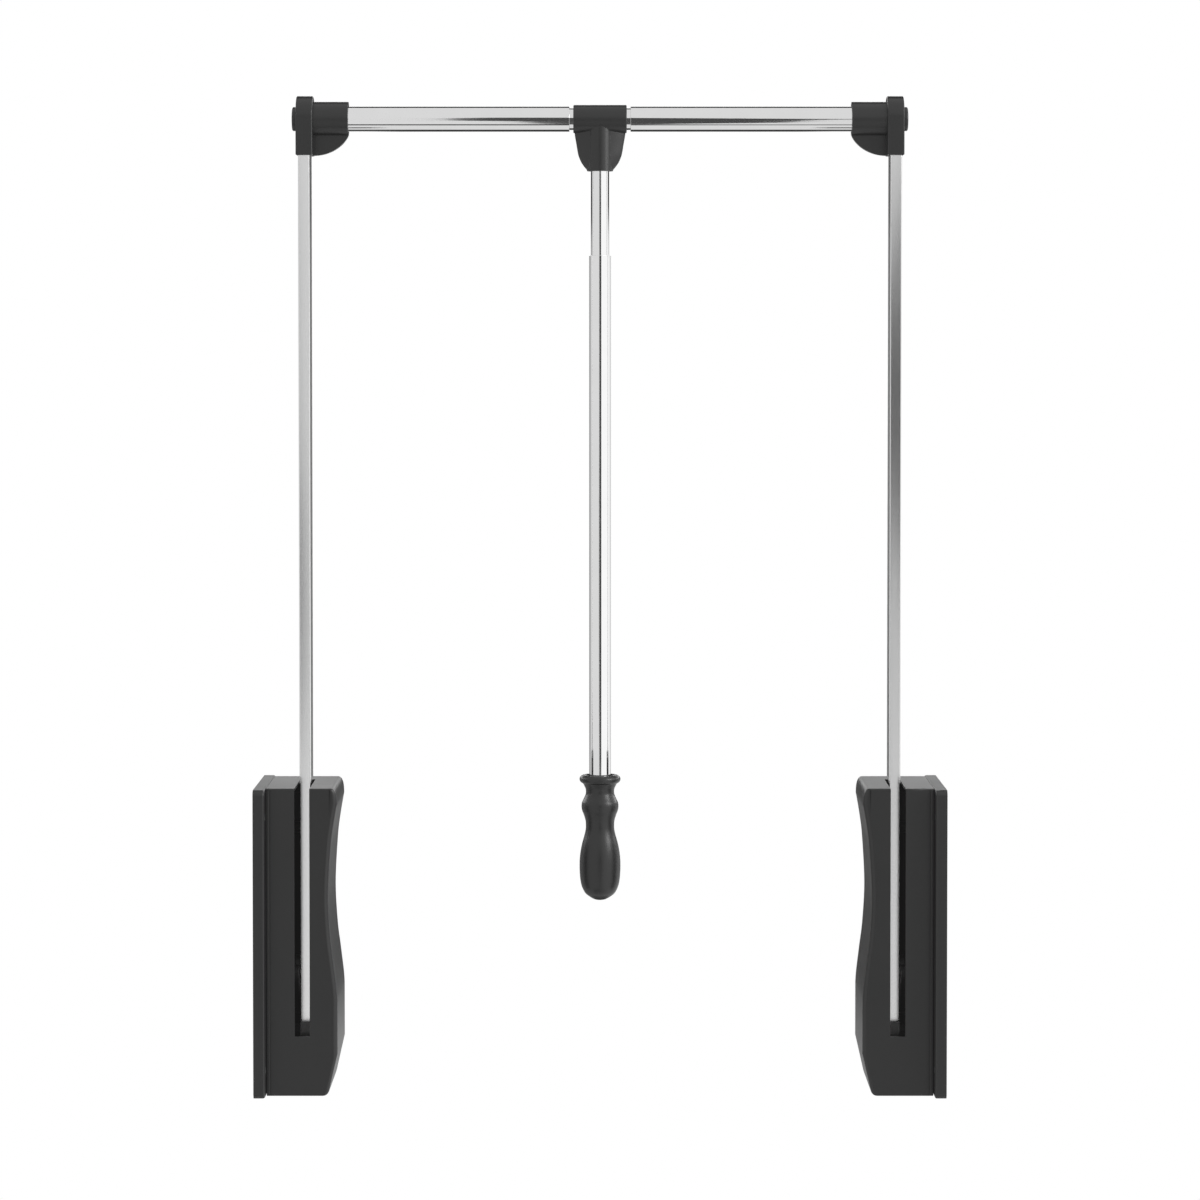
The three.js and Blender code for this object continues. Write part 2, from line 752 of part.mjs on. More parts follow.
// Bolt through the arm into the crank, with its head on the inner side of the arm
function crankBolt() {
  const head_start = arm_inner_face + fit_gap;
  return turnedAlongX([
    [0, crank_outer_face + fit_gap],
    [crank_bolt_radius, crank_outer_face + fit_gap],
    [crank_bolt_radius, head_start],
    [crank_bolt_head_radius, head_start],
    [crank_bolt_head_radius, head_start + crank_bolt_head_height],
    [0, head_start + crank_bolt_head_height],
  ], small_segments);
}

// Pin for a spring loop, headed at its low end, from x0 up to x1
function springPin(x0, x1) {
  return turnedAlongX([
    [0, x0],
    [spring_pin_head_radius, x0],
    [spring_pin_head_radius, x0 + spring_pin_head_height],
    [spring_pin_radius, x0 + spring_pin_head_height],
    [spring_pin_radius, x1],
    [0, x1],
  ], small_segments);
}

// The fixed pin carries its head at its high end
function anchorPin() {
  const head_end = spring_x + spring_pin_spare + spring_pin_head_height;
  const start = base_floor / 2 + fit_gap;
  return turnedAlongX([
    [0, start],
    [spring_pin_radius, start],
    [spring_pin_radius, head_end - spring_pin_head_height],
    [spring_pin_head_radius, head_end - spring_pin_head_height],
    [spring_pin_head_radius, head_end],
    [0, head_end],
  ], small_segments);
}

// Tension spring along +Z between two pins that a given span parts, with a loop round each pin
function springPoints(span) {
  const body_low = spring_hook_rise;
  const body_high = span - spring_hook_rise;
  const steps = spring_curls * spring_curl_steps;
  const loop = THREE.MathUtils.degToRad(spring_loop_degrees);
  const points = [];
  for (let i = 0; i <= spring_loop_steps; i += 1) {
    const angle = -loop + (loop * i) / spring_loop_steps;
    points.push(new THREE.Vector3(
      0, spring_loop_radius * Math.cos(angle), spring_loop_radius * Math.sin(angle)));
  }
  for (let i = 0; i <= steps; i += 1) {
    const angle = Math.PI / 2 + (2 * Math.PI * i) / spring_curl_steps;
    points.push(new THREE.Vector3(
      spring_coil_radius * Math.cos(angle),
      spring_coil_radius * Math.sin(angle),
      body_low + ((body_high - body_low) * i) / steps,
    ));
  }
  for (let i = 0; i <= spring_loop_steps; i += 1) {
    const angle = (loop * i) / spring_loop_steps;
    points.push(new THREE.Vector3(
      0, spring_loop_radius * Math.cos(angle), span + spring_loop_radius * Math.sin(angle)));
  }
  return points;
}

const lever_place = [pivot_y + lever_tip[0], pivot_height + lever_tip[1]];
const spring_lean_y = anchor_place[0] - lever_place[0];
const spring_rise = anchor_place[1] - lever_place[1];
const spring_path = springPoints(Math.hypot(spring_lean_y, spring_rise));
const spring_gap = leastGap(spring_path, spring_wire_radius, spring_gap_steps);
console.log("least gap of the spring to itself, mm:", spring_gap.toFixed(2));

function spring() {
  const geometry = sweep(spring_path, spring_wire_radius, spring_wire_sides);
  return geometry.rotateX(-Math.atan2(spring_lean_y, spring_rise));
}

// Rubber sleeve on the lower post, which the crank meets when the arm is right down
function openStop() {
  return tubeAlongX(
    open_stop_radius, open_stop_post_radius + fit_gap,
    base_floor + fit_gap, crank_inner_face - fit_gap, small_segments);
}

// Rubber pad behind the upright arm, with a stem in the upper post
function closedStop() {
  const pad = block(
    [arm_outer_face, closed_stop_front, closed_stop_low],
    [arm_inner_face, closed_stop_back, closed_stop_low + closed_stop_height],
  );
  return join([pad, stem(0)]);
}

function stem(grow) {
  const radius = closed_stop_stem_radius + grow;
  const geometry = turned([
    [0, 0], [radius, 0], [radius, closed_stop_stem_length + fit_gap + 2 * grow],
    [0, closed_stop_stem_length + fit_gap + 2 * grow],
  ], screw_segments);
  geometry.rotateX(-Math.PI / 2);
  return geometry.translate(
    arm_setback, closed_stop_back - fit_gap, closed_stop_low + closed_stop_height / 2);
}

function stemHole() {
  return stem(fit_gap);
}

// End bracket about the rail axis: a cap over the arm, a socket for the rail and a gusset under it
function endBracket() {
  const half_depth = arm_depth / 2 + cap_end_wall;
  const crown = cap_top_rise - half_depth;
  const shape = new THREE.Shape();
  shape.moveTo(-half_depth, -cap_drop);
  shape.lineTo(half_depth, -cap_drop);
  shape.absarc(0, crown, half_depth, 0, Math.PI);
  const chamfer = {
    bevelEnabled: true,
    bevelThickness: cap_edge_chamfer,
    bevelSize: cap_edge_chamfer,
    bevelOffset: -cap_edge_chamfer,
    bevelSegments: 1,
    curveSegments: small_segments,
  };
  const cap = plateAlongX(
    shape, cap_outer_face + cap_edge_chamfer, cap_inner_face - cap_edge_chamfer, chamfer);
  const socket = turnedAlongX([
    [0, arm_inner_face],
    [socket_radius, arm_inner_face],
    [socket_radius, socket_end - socket_lip_chamfer],
    [socket_radius - socket_lip_chamfer, socket_end],
    [0, socket_end],
  ]);
  const centre = -cap_drop * gusset_centre_share;
  const curve_width = socket_length * gusset_width_share;
  const web = new THREE.Shape();
  web.moveTo(arm_inner_face, 0);
  web.lineTo(arm_inner_face, -cap_drop);
  web.lineTo(cap_inner_face, -cap_drop);
  web.absellipse(cap_inner_face, centre, curve_width, cap_drop + centre, -Math.PI / 2, 0);
  web.lineTo(cap_inner_face + curve_width, 0);
  const past_socket = block(
    [socket_end, -gusset_thickness, -cap_drop - overrun],
    [socket_end + curve_width, gusset_thickness, overrun],
  );
  const gusset = cut(plateAlongY(web, -gusset_thickness / 2, gusset_thickness / 2), [past_socket]);
  const pocket = block(
    [arm_outer_face - fit_gap, -arm_depth / 2 - fit_gap, -cap_drop - overrun],
    [arm_inner_face + fit_gap, arm_depth / 2 + fit_gap, arm_top_rise + fit_gap],
  );
  const tube_hole = rodAlongX(
    rail_tube_diameter / 2 + fit_gap, tube_start - fit_gap, socket_end + overrun, 0, 0, round_segments);
  const bolt_hole = rodAlongX(
    bracket_bolt_radius + fit_gap, cap_outer_face - overrun, socket_end, 0, 0);
  return cut(join([cap, socket, gusset]), [pocket, tube_hole, bolt_hole]);
}

// Bolt through the cap and the arm into the plug of the rail tube, with a low head outside
function bracketBolt() {
  const head_end = cap_outer_face - fit_gap;
  return turnedAlongX([
    [0, head_end - bracket_bolt_head_height],
    [bracket_bolt_head_radius, head_end - bracket_bolt_head_height],
    [bracket_bolt_head_radius, head_end],
    [bracket_bolt_radius, head_end],
    [bracket_bolt_radius, plug_end],
    [0, plug_end],
  ], small_segments);
}

// Round cover button over the head of that bolt
function button() {
  const face = cap_outer_face - fit_gap - button_height;
  const seat = cap_outer_face - fit_gap;
  const room_radius = bracket_bolt_head_radius + fit_gap;
  const room_end = seat - bracket_bolt_head_height - fit_gap;
  const edge = button_edge_shares.map(([inwards, back]) => [
    button_radius - inwards * button_rim, face + back * button_rim,
  ]);
  return turnedAlongX([
    [0, face],
    ...edge,
    [button_radius, seat],
    [room_radius, seat],
    [room_radius, room_end],
    [0, room_end],
  ]);
}

// Plug in the outer end of the rail tube, tapped for the bolt
function tubePlug() {
  return tubeAlongX(
    rail_bore_radius - fit_gap, bracket_bolt_radius + fit_gap, plug_start, plug_end, small_segments);
}

// Outer rail tube, from the bracket to the tee
function outerTube() {
  const radius = rail_tube_diameter / 2;
  return tubeAlongX(radius, radius - rail_tube_wall, tube_start, half_width - tee_half_length - tee_end_gap);
}

// Inner rail tube about the middle of the rail, and the bush that closes each of its ends
const inner_tube_half = half_width - plug_end - rail_end_room - bush_collar_length - 2 * fit_gap;

function innerTube() {
  const radius = rail_inner_diameter / 2;
  return tubeAlongX(radius, radius - rail_tube_wall, -inner_tube_half, inner_tube_half);
}

function plainBush(tube_diameter, wall) {
  const spigot_radius = tube_diameter / 2 - wall - fit_gap;
  return turned([
    [0, -bush_collar_length],
    [tube_diameter / 2, -bush_collar_length],
    [tube_diameter / 2, 0],
    [spigot_radius, 0],
    [spigot_radius, bush_spigot_length],
    [0, bush_spigot_length],
  ], small_segments);
}

// Tee about the rail axis: a sleeve on the inner rail tube over a flared body for the pull rod
function tee() {
  const sleeve = turnedAlongX([
    [0, -tee_half_length],
    [tee_sleeve_radius - tee_edge_chamfer, -tee_half_length],
    [tee_sleeve_radius, -tee_half_length + tee_edge_chamfer],
    [tee_sleeve_radius, tee_half_length - tee_edge_chamfer],
    [tee_sleeve_radius - tee_edge_chamfer, tee_half_length],
    [0, tee_half_length],
  ]);
  const outline = tee_body_shares.map(([drop, reach]) => [reach * tee_half_length, -drop * tee_drop]);
  const neck = [[0, -tee_drop], [tee_neck_radius, -tee_drop]];
  const profile = [...neck, ...outline.reverse(), [0, outline.at(-1)[1]]];
  const wings = turned(profile);
  const places = wings.getAttribute("position");
  for (let i = 0; i < places.count; i += 1) {
    const radius = Math.hypot(places.getX(i), places.getY(i));
    if (radius > 0) {
      places.setY(i, (places.getY(i) * tee_wing_half_depth) / radius);
    }
  }
  const boss = turned([...neck, [tee_neck_radius, 0], [0, 0]]);
  const rod_radius = upper_rod_diameter / 2 + fit_gap;
  const rod_hole = turned([
    [0, -tee_drop - overrun],
    [rod_radius, -tee_drop - overrun],
    [rod_radius, upper_rod_top + fit_gap],
    [0, upper_rod_top + fit_gap],
  ]);
  const rail_hole = rodAlongX(
    tee_bore_radius, -tee_half_length - overrun, tee_half_length + overrun, 0, 0, round_segments);
  const screw_hole = rearScrew(tee_screw_radius, upper_rod_diameter / 2, tee_neck_radius, fit_gap);
  return cut(join([sleeve, wings, boss]), [
    rod_hole, rail_hole, screw_hole.translate(0, 0, -tee_drop * tee_screw_drop_share),
  ]);
}

// Small screw from behind that pins a tube of a given radius, its head sunk in a body of another radius
function rearScrew(radius, tube_radius, body_radius, grow = 0) {
  const tip = tube_radius - rod_wall - fit_gap - grow;
  const head_start = body_radius - screw_head_height - fit_gap - grow;
  const head_end = grow > 0 ? body_radius + overrun : body_radius - fit_gap;
  const geometry = turned([
    [0, tip],
    [radius + grow, tip],
    [radius + grow, head_start],
    [screw_head_radius + grow, head_start],
    [screw_head_radius + grow, head_end],
    [0, head_end],
  ], screw_segments);
  return geometry.rotateX(-Math.PI / 2);
}

// Upright tube about its own axis, from a low to a high end
function uprightTube(diameter, low, high) {
  const radius = diameter / 2;
  const bore = radius - rod_wall;
  return turned([[bore, low], [radius, low], [radius, high], [bore, high], [bore, low]]);
}

// Pull rod tubes below the rail axis: the upper one in the tee, the lower one over it and in the handle
const handle_bottom = handle_top_height - rail_height - handle_length;
const lower_rod_low = handle_bottom + handle_length - handle_seat_depth + fit_gap;
const tee_screw_height = -tee_drop * tee_screw_drop_share;
const handle_screw_height = handle_bottom + handle_length * handle_screw_height_share;
const handle_waist_radius = handle_radius * handle_waist_share;

function upperRod() {
  const tube = uprightTube(upper_rod_diameter, upper_rod_top - upper_rod_length, upper_rod_top);
  const screw = rearScrew(tee_screw_radius, upper_rod_diameter / 2, tee_neck_radius, fit_gap);
  return cut(tube, [screw.translate(0, 0, tee_screw_height)]);
}

function lowerRod() {
  const tube = uprightTube(lower_rod_diameter, lower_rod_low, -lower_rod_top_drop);
  const screw = rearScrew(handle_screw_radius, lower_rod_diameter / 2, handle_waist_radius, fit_gap);
  return cut(tube, [screw.translate(0, 0, handle_screw_height)]);
}

// Handle: a turned grip with a waist, a ring and a dished rim round the rod
function handle() {
  const outline = handle_profile_shares.map(([up, out]) => [
    out * handle_radius, handle_bottom + up * handle_length,
  ]);
  const top = handle_bottom + handle_length;
  const bore = lower_rod_diameter / 2 + fit_gap;
  const grip = turned([
    ...outline,
    [handle_radius * handle_profile_shares.at(-1)[1] - handle_lip_chamfer, top],
    [handle_rim_radius, top],
    [handle_rim_radius - handle_recess_depth, top - handle_recess_depth],
    [bore, top - handle_recess_depth],
    [bore, top - handle_seat_depth],
    [0, top - handle_seat_depth],
  ]);
  const screw = rearScrew(handle_screw_radius, lower_rod_diameter / 2, handle_waist_radius, fit_gap);
  return cut(grip, [screw.translate(0, 0, handle_screw_height)]);
}

// Geometries that both sides share
const pivot = [0, pivot_y, pivot_height];
const at_arm = [arm_setback, pivot_y, pivot_height];
const at_rail = [0, pivot_y, rail_height];
const parts_of_side = [
  ["base_plate", basePlate(), dark_plastic],
  ["cover", cover(), black_plastic],
  ["pivot_shaft", shaft(), zinc_steel, pivot],
  ["shaft_clip", shaftClip(), dark_steel, pivot],
  ["crank", crank(), dark_steel, pivot],
  ["crank_bolt", crankBolt(), zinc_steel, [0, pivot_y, pivot_height + crank_flange_length]],
  ["crank_pin", springPin(spring_pin_end, crank_inner_face - fit_gap), zinc_steel, [0, ...lever_place]],
  ["anchor_pin", anchorPin(), zinc_steel, [0, ...anchor_place]],
  ["lift_spring", spring(), dark_steel, [spring_x, ...lever_place]],
  ["open_stop", openStop(), rubber,
    [0, pivot_y + open_stop_place[0], pivot_height + open_stop_place[1]]],
  ["closed_stop", closedStop(), rubber],
  ["arm", arm(), satin_steel, at_arm],
  ["arm_foot_plug", footPlug(), black_plastic, at_arm],
  ["end_bracket", endBracket(), black_plastic, at_rail],
  ["bracket_bolt", bracketBolt(), zinc_steel, at_rail],
  ["bracket_button", button(), black_plastic, at_rail],
  ["outer_tube", outerTube(), chrome, at_rail],
  ["tube_plug", tubePlug(), dark_plastic, at_rail],
  ...cover_screw_places.map(([y, z], i) => [
    `cover_screw_${i + 1}`, coverScrew(), zinc_steel, [0, y, z],
  ]),
];

// One side in its own frame: +X runs inwards from the outer face of the base plate
function side(prefix) {
  const group = new THREE.Group();
  for (const [name, geometry, material, place] of parts_of_side) {
    group.add(piece(`${prefix}_${name}`, geometry, material, place));
  }
  group.position.x = -half_width;
  return group;
}

const rod = new THREE.Group();
rod.add(piece("tee", tee(), black_plastic));
rod.add(piece("tee_screw",
  rearScrew(tee_screw_radius, upper_rod_diameter / 2, tee_neck_radius),
  zinc_steel, [0, 0, tee_screw_height]));
rod.add(piece("upper_rod", upperRod(), chrome));
rod.add(piece("rod_bush", plainBush(upper_rod_diameter, rod_wall), dark_plastic,
  [0, 0, upper_rod_top - upper_rod_length - fit_gap]));
rod.add(piece("lower_rod", lowerRod(), chrome));
rod.add(piece("handle", handle(), black_plastic));
rod.add(piece("handle_screw",
  rearScrew(handle_screw_radius, lower_rod_diameter / 2, handle_waist_radius), zinc_steel,
  [0, 0, handle_screw_height]));

const rail = new THREE.Group();
rail.add(rod);
rail.add(piece("inner_tube", innerTube(), chrome));
for (const [prefix, direction] of [["left", -1], ["right", 1]]) {
  const bush = piece(`${prefix}_tube_bush`, plainBush(rail_inner_diameter, rail_tube_wall), dark_plastic,
    [direction * (inner_tube_half + fit_gap), 0, 0]);
  bush.rotation.y = (-direction * Math.PI) / 2;
  rail.add(bush);
}
rail.position.set(...at_rail);

const right = new THREE.Group();
right.add(side("right"));
right.scale.x = -1;

const lift = new THREE.Group();
lift.add(side("left"), right, rail);

export default lift;
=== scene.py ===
# %% [markdown]
# # Pull down closet rod
#
# A wardrobe lift: two black housings that screw to the cabinet's sides, a sprung steel arm in each, a
# chrome rail between the arms, and a chrome pull rod with a turned handle. The CAD model gives every part
# its size, its place and its joints. This notebook loads that model as a fixed frame, builds a finer mesh
# for each part that shows, and gives every part a finish. Everything is in metres, with the front at -Y and
# up at +Z.

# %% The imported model
import json
import math
from contextlib import contextmanager

import bmesh
import bpy
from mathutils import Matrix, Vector


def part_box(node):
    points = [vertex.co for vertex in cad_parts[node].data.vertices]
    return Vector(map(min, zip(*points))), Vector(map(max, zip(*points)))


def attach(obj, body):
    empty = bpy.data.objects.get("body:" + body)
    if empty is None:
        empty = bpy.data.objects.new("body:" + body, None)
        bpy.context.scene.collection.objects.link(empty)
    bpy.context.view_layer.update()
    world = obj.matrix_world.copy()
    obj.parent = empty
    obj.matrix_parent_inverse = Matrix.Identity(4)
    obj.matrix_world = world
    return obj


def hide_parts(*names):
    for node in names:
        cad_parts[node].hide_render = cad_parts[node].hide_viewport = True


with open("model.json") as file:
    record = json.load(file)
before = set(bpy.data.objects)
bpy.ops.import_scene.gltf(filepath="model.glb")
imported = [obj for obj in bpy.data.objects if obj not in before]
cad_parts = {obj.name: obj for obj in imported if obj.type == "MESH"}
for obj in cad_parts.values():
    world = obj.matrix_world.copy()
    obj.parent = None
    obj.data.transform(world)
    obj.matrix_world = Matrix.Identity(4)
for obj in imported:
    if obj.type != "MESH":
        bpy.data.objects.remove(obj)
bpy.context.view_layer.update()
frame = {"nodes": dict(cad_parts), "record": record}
print("parts in the frame:", len(frame["nodes"]))

# %% [markdown]
# ## The camera
#
# The photograph was taken level with the rail from about 4.7 m, with the picture moved down on the sensor
# so that the uprights stay parallel. A long lens that looks down by two degrees, with only a small shift,
# gives almost the same picture, and the lift stays in view when the camera moves round it.

# %% Camera
deg = math.radians(1)
camera_distance, camera_height, look_down = 3.805, 0.656, 2.153
bpy.ops.object.camera_add(location=(0, -camera_distance, camera_height),
                          rotation=((90 - look_down) * deg, 0, 0))
camera = bpy.context.active_object
camera.name = "camera"
camera.data.sensor_width = 36
camera.data.lens = 130.26
camera.data.shift_y = -0.08
camera.data.clip_end = 200
bpy.context.scene.camera = camera
bpy.context.scene.view_settings.view_transform = "Standard"
print("camera at", tuple(round(c, 3) for c in camera.location))

# %% [markdown]
# ## Shader maths as Python
#
# A node tree is easier to read as sums than as boxes. A small class stands for the output of a node. Its
# operators add Math nodes, and one method adds any other node: its settings first, then its sockets.

# %% Nodes from expressions
class Wire:
    """The output of a node. Arithmetic on it adds Math nodes."""

    def __init__(self, tree, node, output=0):
        self.tree = tree
        self.node = node
        self.socket = node.outputs[output]

    def out(self, output):
        return Wire(self.tree, self.node, output)

    def math(self, operation, first, second):
        return self.tree.add("Math", {"operation": operation}, {0: first, 1: second})

    def __add__(self, other):
        return self.math("ADD", self, other)

    def __sub__(self, other):
        return self.math("SUBTRACT", self, other)

    def __rsub__(self, other):
        return self.math("SUBTRACT", other, self)

    def __mul__(self, other):
        return self.math("MULTIPLY", self, other)

    __radd__ = __add__
    __rmul__ = __mul__


class Tree:
    """The node tree of a material or a world, empty at the start."""

    def __init__(self, owner):
        owner.use_nodes = True
        self.nodes = owner.node_tree.nodes
        self.links = owner.node_tree.links
        self.nodes.clear()

    def add(self, kind, settings=None, sockets=None, output=0):
        node = self.nodes.new("ShaderNode" + kind)
        for name, value in (settings or {}).items():
            if name == "stops":
                set_stops(node.color_ramp, value)
            else:
                setattr(node, name, value)
        for name, value in (sockets or {}).items():
            if isinstance(value, Wire):
                self.links.new(value.socket, node.inputs[name])
            else:
                node.inputs[name].default_value = value
        return Wire(self, node, output) if node.outputs else None


def set_stops(ramp, stops):
    """Stops of a colour ramp, each a place and a grey."""
    ramp.elements.remove(ramp.elements[1])
    ramp.elements[0].position = stops[0][0]
    ramp.elements[0].color = (stops[0][1],) * 3 + (1,)
    for place, grey in stops[1:]:
        ramp.elements.new(place).color = (grey,) * 3 + (1,)

# %% [markdown]
# ## The studio
#
# The photograph's background is plain white. The world is white to the camera, and a pale floor lies so far
# below the lift that the hanging rod never meets it. Chrome has no look of its own: it shows what stands
# round it. So mirror rays meet a studio painted by direction. Masks made by smooth steps say where each
# wall, drape or light lies, and plain sums blend them. Directions are parts of a ray of length 1: `across`
# to the right, `behind` the lift and `above` the horizon.

# %% Masks of the studio
world = bpy.data.worlds.new("studio")
bpy.context.scene.world = world
tree = Tree(world)


def step(value, low, high):
    """A mask that rises from 0 at low to 1 at high."""
    return tree.add("MapRange", {"interpolation_type": "SMOOTHSTEP"}, {0: value, 1: low, 2: high})


def band(value, low, high, soft):
    """A mask that is 1 between two values."""
    return step(value, low - soft, low) - step(value, high, high + soft)


def largest(*masks):
    """The largest of some masks."""
    found = masks[0]
    for mask in masks[1:]:
        found = tree.add("Math", {"operation": "MAXIMUM"}, {0: found, 1: mask})
    return found


toward = tree.add("SeparateXYZ", {}, {"Vector": tree.add("TexCoord", output="Generated")})
across, behind, above = toward, toward.out("Y"), toward.out("Z")
aside = tree.add("Math", {"operation": "ABSOLUTE"}, {0: across})
rear = step(behind, 0.4, 0.5)
print("directions split")

# %% [markdown]
# The tubes show a dull wall on the left and a bright one on the right. Both are dimmer behind the lift. A
# light band of sky behind gives the tops of the housings their sheen.

# %% Walls and sky
right = step(across, 0.06, 0.3)
wall = 0.81 + right * 0.3
wall = wall * (1 - step(behind, 0.2, 0.5) * step(aside, 0.2, 0.4) * (0.4 - right * 0.25))
sky = rear * step(above, 0.15, 0.2)
sky_level = 1.1 + (1 - step(above, 0.32, 0.4)) * (1.2 + step(aside, 0.15, 0.3) * 1.4)
wall = wall + sky * (sky_level - wall)
print("nodes so far:", len(tree.nodes))

# %% [markdown]
# The rim of a tube mirrors what lies behind it, so dark drapes there draw the dark outline of each tube: a
# belt just above the horizon, drapes to both sides, a skirting low down, and a pit, a cellar and a ceiling
# for the rail. Straight behind, between the drapes, the white backdrop stays.

# %% Drapes behind the lift
horizon = above - right * 0.002
belt = rear * band(horizon, 0.029, 0.13, 0.008) * largest(step(aside, 0.03, 0.05), step(above, 0.045, 0.055))
side_drapes = rear * band(above, -0.12, 0.03, 0.03) * step(aside, 0.04, 0.06) * (1 - step(aside, 0.35, 0.5))
skirting = rear * band(above, -0.157, -0.12, 0.008) * (1 - step(aside, 0.6, 0.8)) * 0.9
pit = rear * (1 - step(above, -0.13, -0.105)) * (1 - step(aside, 0.045, 0.055))
cellar = step(behind, 0.4, 0.48) * (1 - step(above, -0.6, -0.45)) * (1 - step(aside, 0.24, 0.3))
ceiling = rear * band(above, 0.35, 0.84, 0.04) * (1 - step(aside, 0.55, 0.7))
backdrop = step(behind, 0.96, 0.98) * (1 - wall) * (1 - step(aside, 0.04, 0.06))
print("nodes so far:", len(tree.nodes))

# %% [markdown]
# On the camera's side two dark things stand: a kerb near the floor, which is the thin line low on the rail,
# and a post to either side of the camera, which widens the dark line down the middle of each upright tube.

# %% Kerb and posts by the camera
front = 1 - step(behind, -0.4, -0.2)
kerb = front * band(above, -0.88, -0.785, 0.01) * (1 - step(across, 0.0, 0.03) * 0.35)
either_side = band(across, 0.1, 0.24, 0.01) + band(across, -0.15, -0.1, 0.01)
posts = front * band(above, -0.1, 0.045, 0.01) * either_side
dark = largest(belt, side_drapes, cellar, pit, ceiling, kerb, posts, skirting)
dark_level = 0.045
level = (wall + backdrop) * (1 - dark) + dark * dark_level
print("nodes so far:", len(tree.nodes))

# %% [markdown]
# Three backgrounds share the world. The camera sees white, also through clear things. Mirror rays see the
# studio. All other rays get one even level, a little below white, which lights the lift from every side.

# %% World
rays = tree.add("LightPath", output="Is Camera Ray")
seen = tree.add("Background", {}, {"Color": (1, 1, 1, 1), "Strength": 1.0})
room = tree.add("Background", {}, {"Color": (1, 1, 1, 1), "Strength": 0.62})
studio = tree.add("Background", {}, {"Color": tree.add("CombineColor", {}, {0: level, 1: level, 2: level})})
lit = tree.add("MixShader", {}, {0: rays.out("Is Glossy Ray"), 1: room, 2: studio})
clear = rays + rays.out("Is Transmission Ray")
tree.add("OutputWorld", {}, {"Surface": tree.add("MixShader", {}, {0: clear, 1: lit, 2: seen})})
print("world nodes:", len(tree.nodes))

# %% [markdown]
# ## Lamps
#
# Two soft boxes light the lift at a plain level: one from the right, whose reflection gives the plastic its
# broad highlights, and one overhead that only softens the shadows, so mirror rays don't see it.

# %% Lamps
def soft_lamp(name, place, aim, size, power):
    """A square soft box at a place, turned to a point."""
    bpy.ops.object.light_add(type="AREA", location=place)
    lamp = bpy.context.active_object
    lamp.name = name
    lamp.data.shape = "SQUARE"
    lamp.data.size = size
    lamp.data.energy = power
    lamp.rotation_euler = (Vector(aim) - Vector(place)).to_track_quat("-Z", "Y").to_euler()
    return lamp


middle_of_lift = (0, 0, 0.45)
soft_lamp("key_lamp", (2.45, -1.3, 1.7), middle_of_lift, 1.2, 36)
soft_lamp("top_lamp", (-0.6, -0.8, 3.0), middle_of_lift, 2.4, 26).visible_glossy = False
print("lamps: key from the right, one overhead")

# %% [markdown]
# ## Floor
#
# A pale floor takes the lift's soft shadow. Farther off it turns into the plain white of the background.

# %% Floor
floor_drop = 1.1
bpy.ops.mesh.primitive_plane_add(size=60, location=(0, 0, -floor_drop))
floor = bpy.context.active_object
floor.name = "floor"
coat = Tree(bpy.data.materials.new("floor_paint"))
rays = coat.add("LightPath", output="Is Camera Ray")
reach = coat.add("VectorMath", {"operation": "LENGTH"}, {0: coat.add("TexCoord", output="Object")}, "Value")
far_off = coat.add("ValToRGB", {"stops": [(0.5, 0.0), (1.0, 1.0)]}, {"Fac": reach * 0.3})
white = coat.add("Emission", {}, {"Color": (1, 1, 1, 1), "Strength": 1.0})
paint = coat.add("BsdfDiffuse", {}, {"Color": (0.93, 0.93, 0.93, 1)})
looked_at = rays + rays.out("Is Glossy Ray") + rays.out("Is Transmission Ray")
surface = coat.add("MixShader", {}, {0: far_off * looked_at, 1: paint, 2: white})
coat.add("OutputMaterial", {}, {"Surface": surface})
floor.data.materials.append(bpy.data.materials["floor_paint"])
floor.visible_glossy = False
print("floor, metres below the lift:", floor_drop)

# %% [markdown]
# ## Finishes
#
# The moulded parts are black nylon with a fine spark-eroded grain: a tiny bump, and a roughness that
# changes a little over the surface. Patterns read Object coordinates, so the grain has one size on every
# part. A large white background hazes deep blacks, so even the deepest gaps read as a dark grey. A faint
# glow of the dark finishes, which is painted light, lifts them so. The shoes below the arms get a lighter
# grey, which is painted light too: it makes up for the shade deep in the slot.

# %% Plastic and rubber
# Painted glow: a faint emission lifts the dark finishes, and the shade in their gaps, to a dark grey.
painted_glow = {"Emission Color": (0.0075, 0.0075, 0.0075, 1), "Emission Strength": 1.0}


def place_on_piece(tree, stretch=(1, 1, 1)):
    """Object coordinates, scaled along each axis."""
    place = tree.add("TexCoord", output="Object")
    return tree.add("Mapping", {}, {"Vector": place, "Scale": stretch})


def noise(tree, place, scale, detail=2.0):
    return tree.add("TexNoise", {}, {"Vector": place, "Scale": scale, "Detail": detail})


def grey(tree, value):
    """A grey colour from a number."""
    return tree.add("CombineColor", {}, {"Red": value, "Green": value, "Blue": value})


def moulded(name, tone, roughness, grain_depth):
    """A moulded finish: fine grain, faint cloudiness and a faint painted glow."""
    material = bpy.data.materials.new(name)
    tree = Tree(material)
    place = place_on_piece(tree)
    grain = noise(tree, place, 2200)
    clouds = noise(tree, place, 14, 3.0)
    bump = tree.add("Bump", {}, {"Strength": 0.35, "Distance": grain_depth, "Height": grain})
    shader = tree.add("BsdfPrincipled", {}, {
        "Base Color": grey(tree, (clouds * 0.3 + 0.85) * tone),
        "Roughness": clouds * 0.1 + (roughness - 0.05) + grain * 0.04,
        "Normal": bump,
        **painted_glow,
    })
    tree.add("OutputMaterial", {}, {"Surface": shader})
    return material


finishes = {
    "black_plastic": moulded("black_plastic_moulded", 0.009, 0.33, 0.00004),
    "dark_plastic": moulded("dark_plastic_moulded", 0.009, 0.36, 0.00004),
    "rubber": moulded("rubber_moulded", 0.015, 0.8, 0.00006),
    # Painted light: the shoes get a light grey that makes up for the shade they stand in deep in the slot.
    "shoe_painted_light": moulded("shoe_nylon_moulded", 0.36, 0.5, 0.00004),
}
print("moulded finishes:", ", ".join(finishes))
